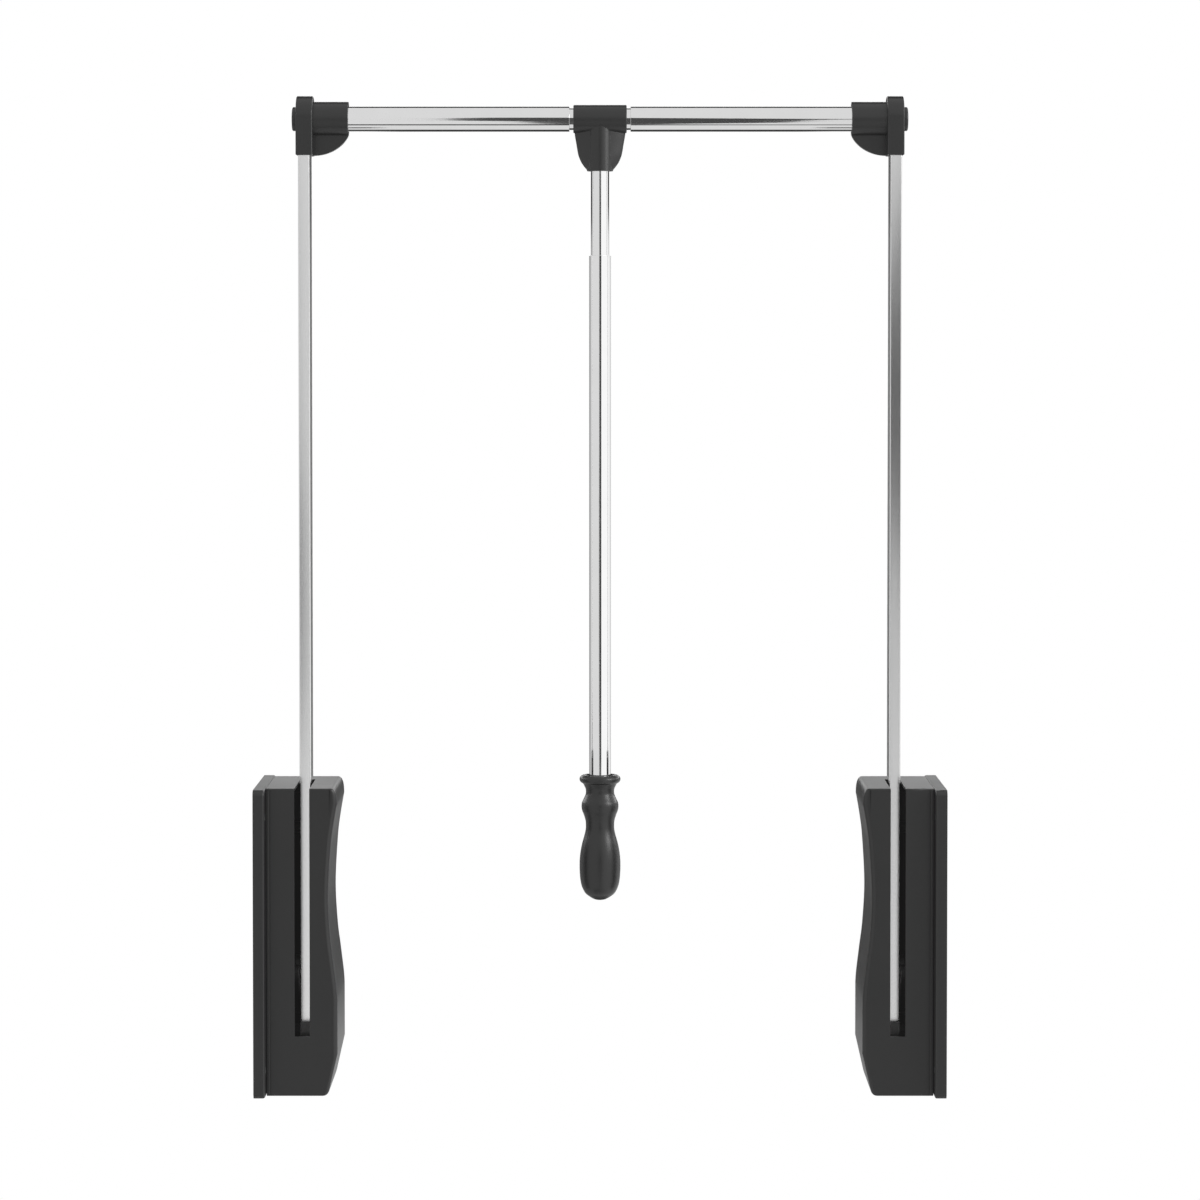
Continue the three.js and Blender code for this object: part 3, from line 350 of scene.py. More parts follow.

# %% [markdown]
# ## Metals
#
# The tubes are chrome plated: almost a mirror, with faint wiping marks that run round the tube and show
# only in the roughness. The arms are satin steel, ground along their length, so their noise is stretched
# along Z. Their outer sides, which run beside the cabinet's walls, get painted shade, a darker colour:
# there the surface points the same way along X as it lies from the middle. Shafts and bolts are zinc
# plated, and the springs and cranks blackened and oiled; both get the same faint painted glow as the
# plastics.

# %% Metal finishes
def outer_side(tree):
    """A mask of the surfaces that face away from the middle of the lift."""
    coordinates = tree.add("TexCoord")
    facing = tree.add("SeparateXYZ", {}, {"Vector": coordinates.out("Normal")})
    outwards = facing * tree.add("SeparateXYZ", {}, {"Vector": coordinates.out("Object")})
    return tree.add("MapRange", {}, {0: outwards, 1: 0.1, 2: 0.2})


def metal(name, tone, roughness, spread, stretch, scale, grind=0.0, painted_side_shade=0.0, glow=None):
    """A bare or plated metal whose roughness follows a stretched noise."""
    material = bpy.data.materials.new(name)
    tree = Tree(material)
    marks = noise(tree, place_on_piece(tree, stretch), scale, 4.0)
    # Painted shade: sides that face away from the middle get a darker colour.
    if painted_side_shade:
        tone = tone - outer_side(tree) * painted_side_shade
    sockets = {
        "Base Color": grey(tree, (marks * 0.06 + 0.97) * tone),
        "Metallic": 1.0,
        "Roughness": marks * spread + (roughness - spread / 2),
        **(glow or {}),
    }
    if grind:
        sockets["Normal"] = tree.add("Bump", {}, {"Strength": 0.3, "Distance": grind, "Height": marks})
    tree.add("OutputMaterial", {}, {"Surface": tree.add("BsdfPrincipled", {}, sockets)})
    return material


finishes["chrome"] = metal("chrome_plate", 0.84, 0.055, 0.03, (1, 1, 1), 60)
# The arms' outer sides get painted shade, a colour 0.24 darker.
finishes["satin_steel"] = metal("satin_steel_ground", 0.88, 0.14, 0.05, (1, 1, 0.02), 1400,
                                grind=0.000006, painted_side_shade=0.24)
# The zinc and the dark steel get the same painted glow.
finishes["zinc_steel"] = metal("zinc_plate", 0.55, 0.35, 0.15, (1, 1, 1), 300, glow=painted_glow)
finishes["dark_steel"] = metal("oiled_dark_steel", 0.05, 0.4, 0.15, (1, 1, 1), 200, glow=painted_glow)
print("finishes:", ", ".join(finishes))

# %% [markdown]
# ## Dressing the frame
#
# The record says which material slot each CAD node takes, so the nodes that stay in view, mostly the parts
# inside the housings, get their finish in one loop. Nodes that a finer piece replaces are hidden later.

# %% Finishes on the CAD nodes
for part in frame["record"]["subparts"]:
    node = frame["nodes"][part["node"]]
    node.data.materials.clear()
    node.data.materials.append(finishes[part["material_slot"]])

# %% [markdown]
# ## Tools for modelling
#
# Sizes are in millimetres here and become metres through one factor. The left side is modelled, and
# `inwards` measures from the cabinet's left wall.

# %% Measures and places
mm = 0.001
tiny = 1e-6
half_width = 300 * mm
pivot_y = 8 * mm
rail_z = 850 * mm


def inwards(distance):
    """World X of a point that lies so many millimetres inwards from the left wall."""
    return distance * mm - half_width


def centre(node):
    """The middle of a CAD node's box."""
    low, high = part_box(node)
    return (low + high) / 2

# %% [markdown]
# Each piece starts as a primitive at its size and place and is shaped in edit mode. In a script, faces and
# edges are picked by a test on where they lie.

# %% Editing
def deselect():
    bpy.ops.object.select_all(action="DESELECT")


def settle(name):
    """Names the new primitive and moves its place into its mesh."""
    piece = bpy.context.active_object
    piece.name = name
    bpy.ops.object.transform_apply(location=True, rotation=True, scale=True)
    return piece


@contextmanager
def editing(piece, mode="FACE"):
    """Edit mode for one piece, with all of it selected."""
    deselect()
    piece.select_set(True)
    bpy.context.view_layer.objects.active = piece
    bpy.ops.object.mode_set(mode="EDIT")
    bpy.ops.mesh.select_mode(type=mode)
    bpy.ops.mesh.select_all(action="SELECT")
    yield
    bpy.ops.object.mode_set(mode="OBJECT")


def pick(kind, test):
    """Selects just the vertices, edges or faces of the edited mesh that pass a test."""
    bpy.ops.mesh.select_mode(type=kind)
    bpy.ops.mesh.select_all(action="DESELECT")
    mesh = bpy.context.edit_object.data
    shape = bmesh.from_edit_mesh(mesh)
    for item in {"VERT": shape.verts, "EDGE": shape.edges, "FACE": shape.faces}[kind]:
        if test(item):
            item.select_set(True)
    shape.select_flush_mode()
    bmesh.update_edit_mesh(mesh)


def midpoint(edge):
    return (edge.verts[0].co + edge.verts[1].co) / 2

# %% [markdown]
# Forms are joined and cut with Boolean modifiers, and a Bevel modifier rounds many edges in one go. Each
# modifier is applied at once, so the next step works on its result.

# %% Modifiers
def modify(piece, kind, **settings):
    """Adds a modifier with its settings and applies it."""
    deselect()
    piece.select_set(True)
    bpy.context.view_layer.objects.active = piece
    modifier = piece.modifiers.new(kind, kind)
    for name, value in settings.items():
        setattr(modifier, name, value)
    bpy.ops.object.modifier_apply(modifier=modifier.name)


def combine(piece, operation, tools):
    """Joins tools to a piece or cuts them from it, and removes them."""
    for tool in tools:
        modify(piece, "BOOLEAN", operation=operation, object=tool, solver="EXACT")
        bpy.data.objects.remove(tool)


def round_edges(piece, width, angle=40, segments=3):
    """Rounds every edge that is sharper than an angle."""
    modify(piece, "BEVEL", width=width, segments=segments, limit_method="ANGLE",
           angle_limit=angle * deg, use_clamp_overlap=True, harden_normals=False)

# %% [markdown]
# Most forms of the lift are boxes and round bars, so these two primitives are placed by their ends.

# %% Blocks and bars
def block(name, low, high):
    """A box between two corners."""
    deselect()
    middle = [(a + b) / 2 for a, b in zip(low, high)]
    bpy.ops.mesh.primitive_cube_add(size=1, location=middle, scale=[b - a for a, b in zip(low, high)])
    return settle(name)


def bar(name, radius, start, end, sides=48):
    """A round bar between two points."""
    deselect()
    line = Vector(end) - Vector(start)
    turn = line.to_track_quat("Z", "Y").to_euler()
    bpy.ops.mesh.primitive_cylinder_add(vertices=sides, radius=radius, depth=line.length,
                                        location=(Vector(start) + Vector(end)) / 2, rotation=turn)
    return settle(name)


def bar_across(name, radius, x0, x1, y, z, sides=48):
    """A round bar along X, its ends in millimetres from the left wall and its radius in millimetres."""
    return bar(name, radius * mm, (inwards(x0), y, z), (inwards(x1), y, z), sides)

# %% [markdown]
# The other forms come from a drawn line. It is filled and extruded, or spun round an axis.

# %% Lines and extrusions
def draw(name, points, closed=True):
    """A line through points, made by extruding a vertex again and again, and filled when it is closed."""
    deselect()
    bpy.ops.mesh.primitive_plane_add(size=mm, location=points[0])
    piece = settle(name)
    with editing(piece, "VERT"):
        bpy.ops.mesh.merge(type="CENTER")
        for before, after in zip(points, points[1:]):
            move = Vector(after) - Vector(before)
            bpy.ops.mesh.extrude_vertices_move(TRANSFORM_OT_translate={"value": move})
        if closed:
            bpy.ops.mesh.select_all(action="SELECT")
            bpy.ops.mesh.edge_face_add()
    return piece


def extrude(*move):
    """Extrudes what is selected along a line."""
    bpy.ops.mesh.extrude_region_move(TRANSFORM_OT_translate={"value": move})


def bevel(radius, segments):
    """Rounds the selected edges by a radius in millimetres."""
    bpy.ops.mesh.bevel(offset=radius * mm, segments=segments, affect="EDGES", clamp_overlap=False)


def thicken(piece, *move):
    """Extrudes a flat outline into a solid."""
    with editing(piece):
        extrude(*move)
        bpy.ops.mesh.select_all(action="SELECT")
        bpy.ops.mesh.normals_make_consistent(inside=False)

# %% [markdown]
# ## The dark stand by the camera
#
# Every chrome tube in the photograph shows a thin dark line down its middle, the rail a dark band that
# changes along it, and each arm a darker stretch. That is the camera on its stand, and what stands to
# either side, seen in the metal. Dark cards in the plane of the camera, which only mirror rays can see, put
# it there.

# %% Camera stand
cloth = bpy.data.materials.new("stand_cloth")
weave = Tree(cloth)
weave.add("OutputMaterial", {}, {"Surface": weave.add("Emission", {}, {"Color": (0.075, 0.075, 0.075, 1)})})
stand_y = -4.0
column = [(-0.27, -0.35), (-0.27, 1.1), (-0.2, 1.6), (-0.06, 1.6), (0.18, 1.2), (0.36, 0.85), (0.43, 0.75),
          (0.43, 0.3), (0.38, 0.1), (0.37, -2.0), (0.18, -3.2), (0.02, -6.0), (-0.1, -6.0), (-0.15, -0.75)]


def oval(x, z, reach, height):
    """Points of an upright oval."""
    return [(x + reach * math.cos(k * 15 * deg), z + height * math.sin(k * 15 * deg)) for k in range(24)]


cards = {
    "stand_column": column,
    "stand_right": oval(0.68, 0.58, 0.25, 0.34),
    "stand_left": oval(-0.65, 0.19, 0.13, 0.26),
}
for name, points in cards.items():
    card = draw(name, [(x, stand_y, z) for x, z in points])
    card.data.materials.append(cloth)
    card.visible_camera = card.visible_diffuse = card.visible_shadow = card.visible_transmission = False
print("cards:", len(cards))

# %% [markdown]
# ## Handing a piece over
#
# A finished piece gets smooth shading with its flat faces kept flat, its finish and the body it moves with,
# and the CAD node it stands for is hidden. The finish is the slot's own unless another one is named. Its
# volume is printed: a positive one shows that the faces point outwards.

# %% Hand over and mirror
def hand_over(piece, body, node, slot, finish=None):
    with editing(piece):
        bpy.ops.mesh.remove_doubles(threshold=0.001 * mm)
    bpy.ops.object.shade_smooth_by_angle(angle=32 * deg)
    modify(piece, "WEIGHTED_NORMAL", keep_sharp=True, weight=80)
    shape = bmesh.new()
    shape.from_mesh(piece.data)
    volume = shape.calc_volume(signed=True)
    open_edges = sum(1 for edge in shape.edges if not edge.is_manifold)
    shape.free()
    piece.data.materials.clear()
    piece.data.materials.append(finishes[finish or slot])
    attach(piece, body)
    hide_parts(node)
    print(f"{piece.name}: {len(piece.data.polygons)} faces, {volume * 1e6:.1f} cm3, {open_edges} open edges")


def both_sides(piece, body, node, slot, finish=None):
    """Hands over a left piece and its mirror image on the right."""
    deselect()
    piece.select_set(True)
    bpy.context.view_layer.objects.active = piece
    bpy.ops.object.duplicate(linked=False)
    twin = bpy.context.active_object
    twin.name = piece.name.replace("left", "right")
    with editing(twin):
        bpy.ops.transform.resize(value=(-1, 1, 1), center_override=(0, 0, 0))
        bpy.ops.mesh.normals_make_consistent(inside=False)
    for one, side in ((piece, "left"), (twin, "right")):
        hand_over(one, f"{side}_{body}", f"{side}_{node}", slot, finish)

# %% [markdown]
# ## Curves
#
# The waist of the cover, the tee's wings and the handle are smooth curves through a few read points. Each has
# the same formula as in the CAD model. Short arcs round the corners of an outline.

# %% Curves
def spline(points, steps):
    """Points of a smooth curve through given ones, the same curve as the CAD model's."""
    found = []
    last = len(points) - 1
    for i in range(steps + 1):
        along = last * i / steps
        k = min(int(along), last - 1)
        t = along - k
        p0, p1, p2, p3 = (Vector(points[min(max(k + j, 0), last)]) for j in (-1, 0, 1, 2))
        v1, v2 = (p2 - p0) / 2, (p3 - p1) / 2
        cubic, square = 2 * p1 - 2 * p2 + v1 + v2, 3 * p2 - 3 * p1 - 2 * v1 - v2
        found.append(tuple(cubic * t**3 + square * t**2 + v1 * t + p1))
    return found


def arc(start, control, end, steps):
    """Points of a curve from start to end, drawn towards a control point. The start is left out."""
    found = []
    for i in range(1, steps + 1):
        t = i / steps
        found.append(tuple((1 - t)**2 * a + 2 * t * (1 - t) * b + t * t * c
                           for a, b, c in zip(start, control, end)))
    return found

# %% [markdown]
# ## Cover
#
# The cover is the big black shell of each housing, moulded with a waisted inner side that gives hangers
# room. Its front view is drawn as an outline and extruded through its depth. Its edges are rounded by
# weight: full round where the waisted side meets the front, tighter along the top, the bottom and the lip
# by the base plate.

# %% Cover outline
cover_start, cover_reach, cover_height = 10.3, 61.7, 268
cover_front, cover_rear = -54 * mm, 58 * mm
cover_wall = 2.5 * mm
slot_low, slot_high, slot_bottom, slot_rear = inwards(34.9), inwards(47.9), 52 * mm, 27 * mm
wave_shares = [(0.315, 1), (0.353, 0.989), (0.437, 0.945), (0.519, 0.902), (0.649, 0.874), (0.802, 0.908),
               (0.877, 0.947), (0.948, 1)]


def on_cover(height_share, reach_share):
    return cover_start + reach_share * cover_reach, height_share * cover_height


slant, slant_end = on_cover(0.022, 0.886), on_cover(0.138, 1)
wave = spline([on_cover(*share) for share in wave_shares], 42)
cover_end = cover_start + cover_reach
foot_round, crown_round = 6, 5.5
outline = [(cover_start, 0), (slant[0] - foot_round, 0)]
outline += arc(outline[-1], (slant[0] - 1, 0), slant, 5)
outline += [slant_end] + wave
outline += arc(wave[-1], (cover_end, cover_height), (cover_end - crown_round, cover_height), 7)
outline += [(cover_start, cover_height)]
print("outline points:", len(outline))

# %% Cover body
cover_edge = 4.2
upright_weight, slant_weight, level_weight, lip_weight = 1, 0.72, 0.29, 0.12
cover = draw("left_cover_shell", [(inwards(x), cover_front, z * mm) for x, z in outline])
thicken(cover, 0, cover_rear - cover_front, 0)
with editing(cover, "EDGE"):
    shape = bmesh.from_edit_mesh(cover.data)
    weights = shape.edges.layers.float.new("bevel_weight_edge")
    for edge in shape.edges:
        run = edge.verts[1].co - edge.verts[0].co
        if abs(run.y) < tiny:
            on_lip = midpoint(edge).x < inwards(cover_start + 0.1)
            steep = slant_weight if midpoint(edge).z < slant_end[1] * mm else upright_weight
            weight = level_weight + (steep - level_weight) * (run.z / run.length)**2
            edge[weights] = lip_weight if on_lip else weight
    bmesh.update_edit_mesh(cover.data)
modify(cover, "BEVEL", limit_method="WEIGHT", width=cover_edge * mm, segments=6, use_clamp_overlap=False)
print("rounded cover:", len(cover.data.polygons), "faces")

# %% [markdown]
# A fine groove sets a lip off from the front, beside the base plate. The front is cut twice with bisect,
# the face between the cuts is pushed in, and the lip's edge is rounded over it.

# %% Lip by the base plate
groove_start, groove_end, groove_depth, lip_round = inwards(13.3), inwards(14.3), 0.9 * mm, 0.8
with editing(cover):
    for x in (groove_start, groove_end):
        pick("FACE", lambda f: f.normal.y < -0.99)
        bpy.ops.mesh.bisect(plane_co=(x, 0, 0), plane_no=(1, 0, 0))
    pick("FACE", lambda f: f.normal.y < -0.99 and groove_start < f.calc_center_median().x < groove_end)
    extrude(0, groove_depth, 0)
    pick("EDGE", lambda e: all(abs(v.co.x - groove_start) < tiny and v.co.y < cover_front + tiny
                               for v in e.verts))
    bevel(lip_round, 4)

# %% [markdown]
# The hollow has the same outline, moved in by the wall. Inset does that, and the band outside it is deleted.
# It is open towards the base plate. A block cuts the slot for the arm through front and top, and the slot's
# edges are broken a little.

# %% Hollow and slot
cavity = draw("cavity", [(inwards(x), cover_front + cover_wall, z * mm) for x, z in outline])
with editing(cavity):
    bpy.ops.mesh.inset(thickness=cover_wall, use_even_offset=True)
    bpy.ops.mesh.select_all(action="INVERT")
    bpy.ops.mesh.delete(type="FACE")
    pick("VERT", lambda v: v.co.x < inwards(cover_start + 3))
    bpy.ops.transform.translate(value=(-6 * mm, 0, 0))
thicken(cavity, 0, cover_rear - cover_front - 2 * cover_wall, 0)
opening = block("opening", (slot_low, cover_front - 5 * mm, slot_bottom), (slot_high, slot_rear, 280 * mm))
combine(cover, "DIFFERENCE", [cavity, opening])
with editing(cover, "EDGE"):
    pick("EDGE", lambda e: e.is_manifold and e.calc_face_angle() > 60 * deg
         and all(slot_low - tiny < v.co.x < slot_high + tiny for v in e.verts))
    bevel(0.4, 2)
print("cover with its slot:", len(cover.data.polygons), "faces")

# %% [markdown]
# Inside, the cover carries the far end of the arm's shaft and takes the three screws that hold it to the
# base plate. The places of these come from the CAD nodes that sit in them.

# %% Bosses in the cover
shaft_bore, screw_boss, screw_bore, screw_head = 6.3, 5, 1.8, 3.3
pivot = centre("left_pivot_shaft")
cover_screws = [centre(f"left_cover_screw_{i}") for i in (1, 2, 3)]
combine(cover, "UNION", [bar_across("boss", 8.8, 49.8, 70.8, pivot.y, pivot.z)]
        + [bar_across("boss", screw_boss, cover_start, 66, place.y, place.z) for place in cover_screws])
combine(cover, "DIFFERENCE", [bar_across("bore", shaft_bore, 40, 61.1, pivot.y, pivot.z)]
        + [bar_across("bore", screw_bore, 5, 24.3, place.y, place.z) for place in cover_screws])
both_sides(cover, "housing", "cover", "black_plastic")

# %% [markdown]
# ## Base plate
#
# The plate behind the cover screws to the cabinet. It is a tray: a cube with rounded corners and a rounded
# inner rim, hollowed by a box, with bosses for the shaft, the spring pin, the stops and the cover's screws.
# Each boss stands where the CAD node sits that it holds.

# %% Places of the parts inside
anchor = centre("left_anchor_pin")
open_stop = centre("left_open_stop")
closed_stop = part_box("left_closed_stop")
print("pivot height, mm:", round(pivot.z / mm, 1))

# %% Base plate
plate_thick, plate_half_depth, plate_corner, plate_rim = 10, 70, 5, 1.8
plate = block("left_base_tray", (inwards(0), -plate_half_depth * mm, 0),
              (inwards(plate_thick), plate_half_depth * mm, cover_height * mm))
with editing(plate, "EDGE"):
    pick("EDGE", lambda e: abs(e.verts[0].co.x - e.verts[1].co.x) > mm)
    bevel(plate_corner, 6)
    pick("EDGE", lambda e: all(v.co.x > inwards(plate_thick - 0.1) for v in e.verts))
    bevel(plate_rim, 5)
hollow = block("hollow", (inwards(4), -46.5 * mm, 7.5 * mm), (inwards(14), 50.5 * mm, 260.5 * mm))
combine(plate, "DIFFERENCE", [hollow])

# %% Bosses of the base plate
post_y = closed_stop[0].y + 6.3 * mm
post_depth, floor_x = 8 * mm, 2
bosses = [
    bar_across("boss", 10.3, floor_x, 31.8, pivot.y, pivot.z),
    bar_across("boss", 6.3, floor_x, plate_thick, anchor.y, anchor.z),
    bar_across("boss", 3, floor_x, 35.8, open_stop.y, open_stop.z),
    block("boss", (inwards(floor_x), post_y, closed_stop[0].z - 2 * mm),
          (inwards(46.4), post_y + post_depth, closed_stop[1].z + 2 * mm)),
]
bosses += [bar_across("boss", screw_boss, floor_x, plate_thick, place.y, place.z) for place in cover_screws]
combine(plate, "UNION", bosses)
print("bosses on the base plate:", len(bosses))

# %% Bores of the base plate
bores = [bar_across("bore", shaft_bore, floor_x, 40, pivot.y, pivot.z),
         bar_across("bore", 3.3, floor_x, 20, anchor.y, anchor.z)]
for place in cover_screws:
    bores += [bar_across("bore", screw_bore, -4, 20, place.y, place.z),
              bar_across("bore", screw_head, -4, 2.6, place.y, place.z)]
stem_x, stem_z = inwards(41.4), (closed_stop[0].z + closed_stop[1].z) / 2
bores += [bar("bore", 2.3 * mm, (stem_x, post_y - mm, stem_z), (stem_x, post_y + 5.4 * mm, stem_z))]
combine(plate, "DIFFERENCE", bores)
print("bores in the base plate:", len(bores))

# %% [markdown]
# Four wood screws hold each plate to the cabinet. Their holes in the rim are drilled one by one, and the
# edge of each is opened to a countersink with a bevel.

# %% Screw holes in the rim
hole_radius, countersink = 2.5, 2
for y in (-62 * mm, 64 * mm):
    for z in (24 * mm, 244 * mm):
        mouth = Vector((inwards(plate_thick), y, z))
        combine(plate, "DIFFERENCE", [bar_across("hole", hole_radius, -4, 14, y, z)])
        with editing(plate, "EDGE"):
            pick("EDGE", lambda e: abs(midpoint(e).x - mouth.x) < 0.01 * mm
                 and abs((midpoint(e) - mouth).length - hole_radius * mm) < 0.1 * mm)
            bevel(countersink, 1)
round_edges(plate, 0.3 * mm, 50, 2)
both_sides(plate, "housing", "base_plate", "dark_plastic")

# %% [markdown]
# ## End bracket
#
# The bracket caps the top of the arm and holds the rail. Its cap is half a disc drawn down to a square
# foot, with rounded edges that catch the light. A socket and a thin quarter-round gusset are joined to it,
# and one bevel rounds all other edges, also the hollow ones where the forms meet, as a mould would.

# %% Cap
cap_out, cap_in, cap_radius = 34.4, 49.1, 18
cap_out_edge, cap_in_edge = 0.9, 1.3
cap_z, cap_foot = 852 * mm, 818 * mm
bpy.ops.mesh.primitive_circle_add(vertices=96, radius=cap_radius * mm, fill_type="NGON",
                                  rotation=(0, 90 * deg, 0), location=(inwards(cap_out), pivot_y, cap_z))
bracket = settle("left_bracket")
with editing(bracket, "FACE"):
    bpy.ops.mesh.bisect(plane_co=(0, pivot_y, cap_z), plane_no=(0, 0, 1), clear_inner=True)
    pick("EDGE", lambda e: all(abs(v.co.z - cap_z) < tiny for v in e.verts) or e.is_wire)
    extrude(0, 0, cap_foot - cap_z)
with editing(bracket):
    bpy.ops.mesh.dissolve_limited(angle_limit=0.5 * deg)
thicken(bracket, (cap_in - cap_out) * mm, 0, 0)
with editing(bracket, "EDGE"):
    pick("EDGE", lambda e: all(v.co.x > inwards(cap_in - 0.1) for v in e.verts))
    bevel(cap_in_edge, 4)
    pick("EDGE", lambda e: all(v.co.x < inwards(cap_out + 0.1) for v in e.verts))
    bevel(cap_out_edge, 4)
print("cap faces:", len(bracket.data.polygons))

# %% Socket and gusset
socket_radius, socket_end, gusset_thick = 15, 79.7, 8 * mm
gusset_end, gusset_reach, gusset_drop = inwards(79.5), 32.7 * mm, 27 * mm
gusset_z = rail_z - 5 * mm
corner = inwards(47)
gusset_line = [(corner, rail_z), (corner, cap_foot), (inwards(cap_in), cap_foot)]
for i in range(1, 25):
    angle = (i / 24 - 1) * 90 * deg
    gusset_line.append((inwards(cap_in) + gusset_reach * math.cos(angle),
                        gusset_z + gusset_drop * math.sin(angle)))
gusset_line = [(x, z) for x, z in gusset_line if x <= gusset_end] + [(gusset_end, rail_z)]
gusset = draw("gusset", [(x, pivot_y - gusset_thick / 2, z) for x, z in gusset_line])
thicken(gusset, 0, gusset_thick, 0)
socket = bar_across("socket", socket_radius, 46.7, socket_end, pivot_y, rail_z, 96)
combine(bracket, "UNION", [socket, gusset])
round_edges(bracket, 0.9 * mm, 40, 3)
combine(bracket, "DIFFERENCE", [
    block("pocket", (inwards(36.1), -7.3 * mm, 800 * mm), (inwards(46.7), 23.3 * mm, 859.3 * mm)),
    bar_across("bore", 11.3, 47.6, 90, pivot_y, rail_z, 96),
    bar_across("bore", 3.3, 30, 60, pivot_y, rail_z)])
both_sides(bracket, "frame", "end_bracket", "black_plastic")

# %% [markdown]
# ## Button
#
# A domed cap hides the bolt of each bracket. A short cylinder has its rim rounded and its face drawn out in
# two shallow rings, so that it catches the light like the real one.

# %% Button
button_out, button_in, button_radius, button_edge = 30.5, 34.1, 10.5, 1.4
button = bar_across("left_button", button_radius, button_out, button_in, pivot_y, rail_z, 64)
with editing(button, "EDGE"):
    pick("EDGE", lambda e: all(v.co.x < inwards(button_out + 0.1) for v in e.verts))
    bevel(button_edge, 5)
    for inset, rise in ((2.5, 0.12), (3, 0.06)):
        pick("FACE", lambda f: f.normal.x < -0.999 and f.calc_area() > 1e-5)
        bpy.ops.mesh.inset(thickness=inset * mm)
        bpy.ops.transform.translate(value=(-rise * mm, 0, 0))
combine(button, "DIFFERENCE", [bar_across("room", 5.8, 31.6, 36, pivot_y, rail_z)])
both_sides(button, "frame", "bracket_button", "black_plastic")

# %% [markdown]
# ## Arm
#
# Each arm is a rectangular steel tube. A cube is drawn out to its length, its long edges are rounded, the
# ends are taken off, and Solidify makes the wall. Bores take the crank's hub and the two bolts.

# %% Arm
arm_out, arm_in = inwards(36.4), inwards(46.4)
arm_front, arm_rear, arm_foot, arm_top = -7 * mm, 23 * mm, 58 * mm, 859 * mm
arm_edge, arm_wall, hub_bore, bolt_bore = 0.8, 1.5, 9.3, 3.3
arm = block("left_arm_tube", (arm_out, arm_front, arm_foot), (arm_in, arm_rear, arm_top))
with editing(arm, "EDGE"):
    pick("EDGE", lambda e: abs(e.verts[0].co.z - e.verts[1].co.z) > mm)
    bevel(arm_edge, 4)
    pick("FACE", lambda f: abs(f.normal.z) > 0.9)
    bpy.ops.mesh.delete(type="FACE")
modify(arm, "SOLIDIFY", thickness=arm_wall * mm, offset=-1, use_even_offset=True, use_rim=True)
crank_bolt = centre("left_crank_bolt")
combine(arm, "DIFFERENCE", [bar_across("bore", hub_bore, 30, 52, pivot.y, pivot.z),
                            bar_across("bore", bolt_bore, 30, 52, crank_bolt.y, crank_bolt.z),
                            bar_across("bore", bolt_bore, 30, 52, pivot_y, rail_z)])
both_sides(arm, "frame", "arm", "satin_steel")

# %% [markdown]
# ## Arm shoe
#
# A plastic shoe closes the lower end of each arm and shows at the foot of the slot. It is a block as wide
# as the arm with two well rounded lower corners, all edges broken a little, and a plug that enters the
# tube. It shows lighter than the housing, so it gets a light grey: painted light, which makes up for the
# shade deep in the slot.

# %% Arm shoe
shoe_low, shoe_high, shoe_corner = 43.7 * mm, 57.7 * mm, 6
shoe = block("left_arm_shoe", (arm_out, arm_front, shoe_low), (arm_in, arm_rear, shoe_high))
with editing(shoe, "EDGE"):
    pick("EDGE", lambda e: all(v.co.z < shoe_low + 0.3 * mm for v in e.verts)
         and abs(e.verts[0].co.x - e.verts[1].co.x) > mm)
    bevel(shoe_corner, 8)
round_edges(shoe, 0.8 * mm, 50, 3)
spigot = block("spigot", (inwards(38.2), -5.2 * mm, 52 * mm), (inwards(44.6), 21.2 * mm, 64.7 * mm))
combine(shoe, "UNION", [spigot])
# The shoes take the light grey of painted light, not the housing's black.
both_sides(shoe, "frame", "arm_foot_plug", "black_plastic", "shoe_painted_light")

# %% [markdown]
# ## Tubes
#
# The rail and the pull rod are chrome tubes. A cylinder with many sides loses its ends, gets a wall, and
# has its cut rims rounded a little, so that each rim shows as a bright line.

# %% Tubes
def tube(name, radius, wall, start, end):
    piece = bar(name, radius * mm, start, end, 96)
    along = (Vector(end) - Vector(start)).normalized()
    with editing(piece):
        pick("FACE", lambda f: abs(f.normal.dot(along)) > 0.9)
        bpy.ops.mesh.delete(type="FACE")
    modify(piece, "SOLIDIFY", thickness=wall * mm, offset=-1, use_even_offset=True, use_rim=True)
    round_edges(piece, 0.3 * mm, 60, 3)
    return piece


tube_wall = 1.2


def rail_tube(name, node, radius):
    """A tube as long as its CAD node, on the rail's axis."""
    low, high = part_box(node)
    return tube(name, radius, tube_wall, (low.x, pivot_y, rail_z), (high.x, pivot_y, rail_z))


both_sides(rail_tube("left_rail_tube", "left_outer_tube", 11), "frame", "outer_tube", "chrome")
hand_over(rail_tube("inner_rail_tube", "inner_tube", 9.5), "inner_rail", "inner_tube", "chrome")

# %% [markdown]
# The two tubes of the pull rod are made in the same way, and each gets the bore of the screw that holds it.

# %% Pull rod tubes
screw_pilot, driver_bore = 1.8, 3.1
for name, node, body, radius in (("pull_rod_upper", "upper_rod", "pull_rod", 8),
                                 ("pull_rod_lower", "lower_rod", "grip", 9.5)):
    low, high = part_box(node)
    screw = centre("tee_screw" if node == "upper_rod" else "handle_screw")
    rod = tube(name, radius, tube_wall, (0, pivot_y, low.z), (0, pivot_y, high.z))
    combine(rod, "DIFFERENCE", [bar("bore", screw_pilot * mm, screw, screw + Vector((0, -8 * mm, 0)))])
    hand_over(rod, body, node, "chrome")

# %% [markdown]
# ## Tee
#
# The tee slides on the inner rail tube and holds the pull rod. Its lower body is a flared wing with a round
# boss down its middle. Seen from above the wing is a lens with pointed ends. That outline is drawn point by
# point and extruded downwards ring by ring, and each ring is narrowed to the wing's width. The boss, a
# little flattened, and the sleeve are joined to it, which leaves the creases that the photograph shows, and
# the bores are cut last.

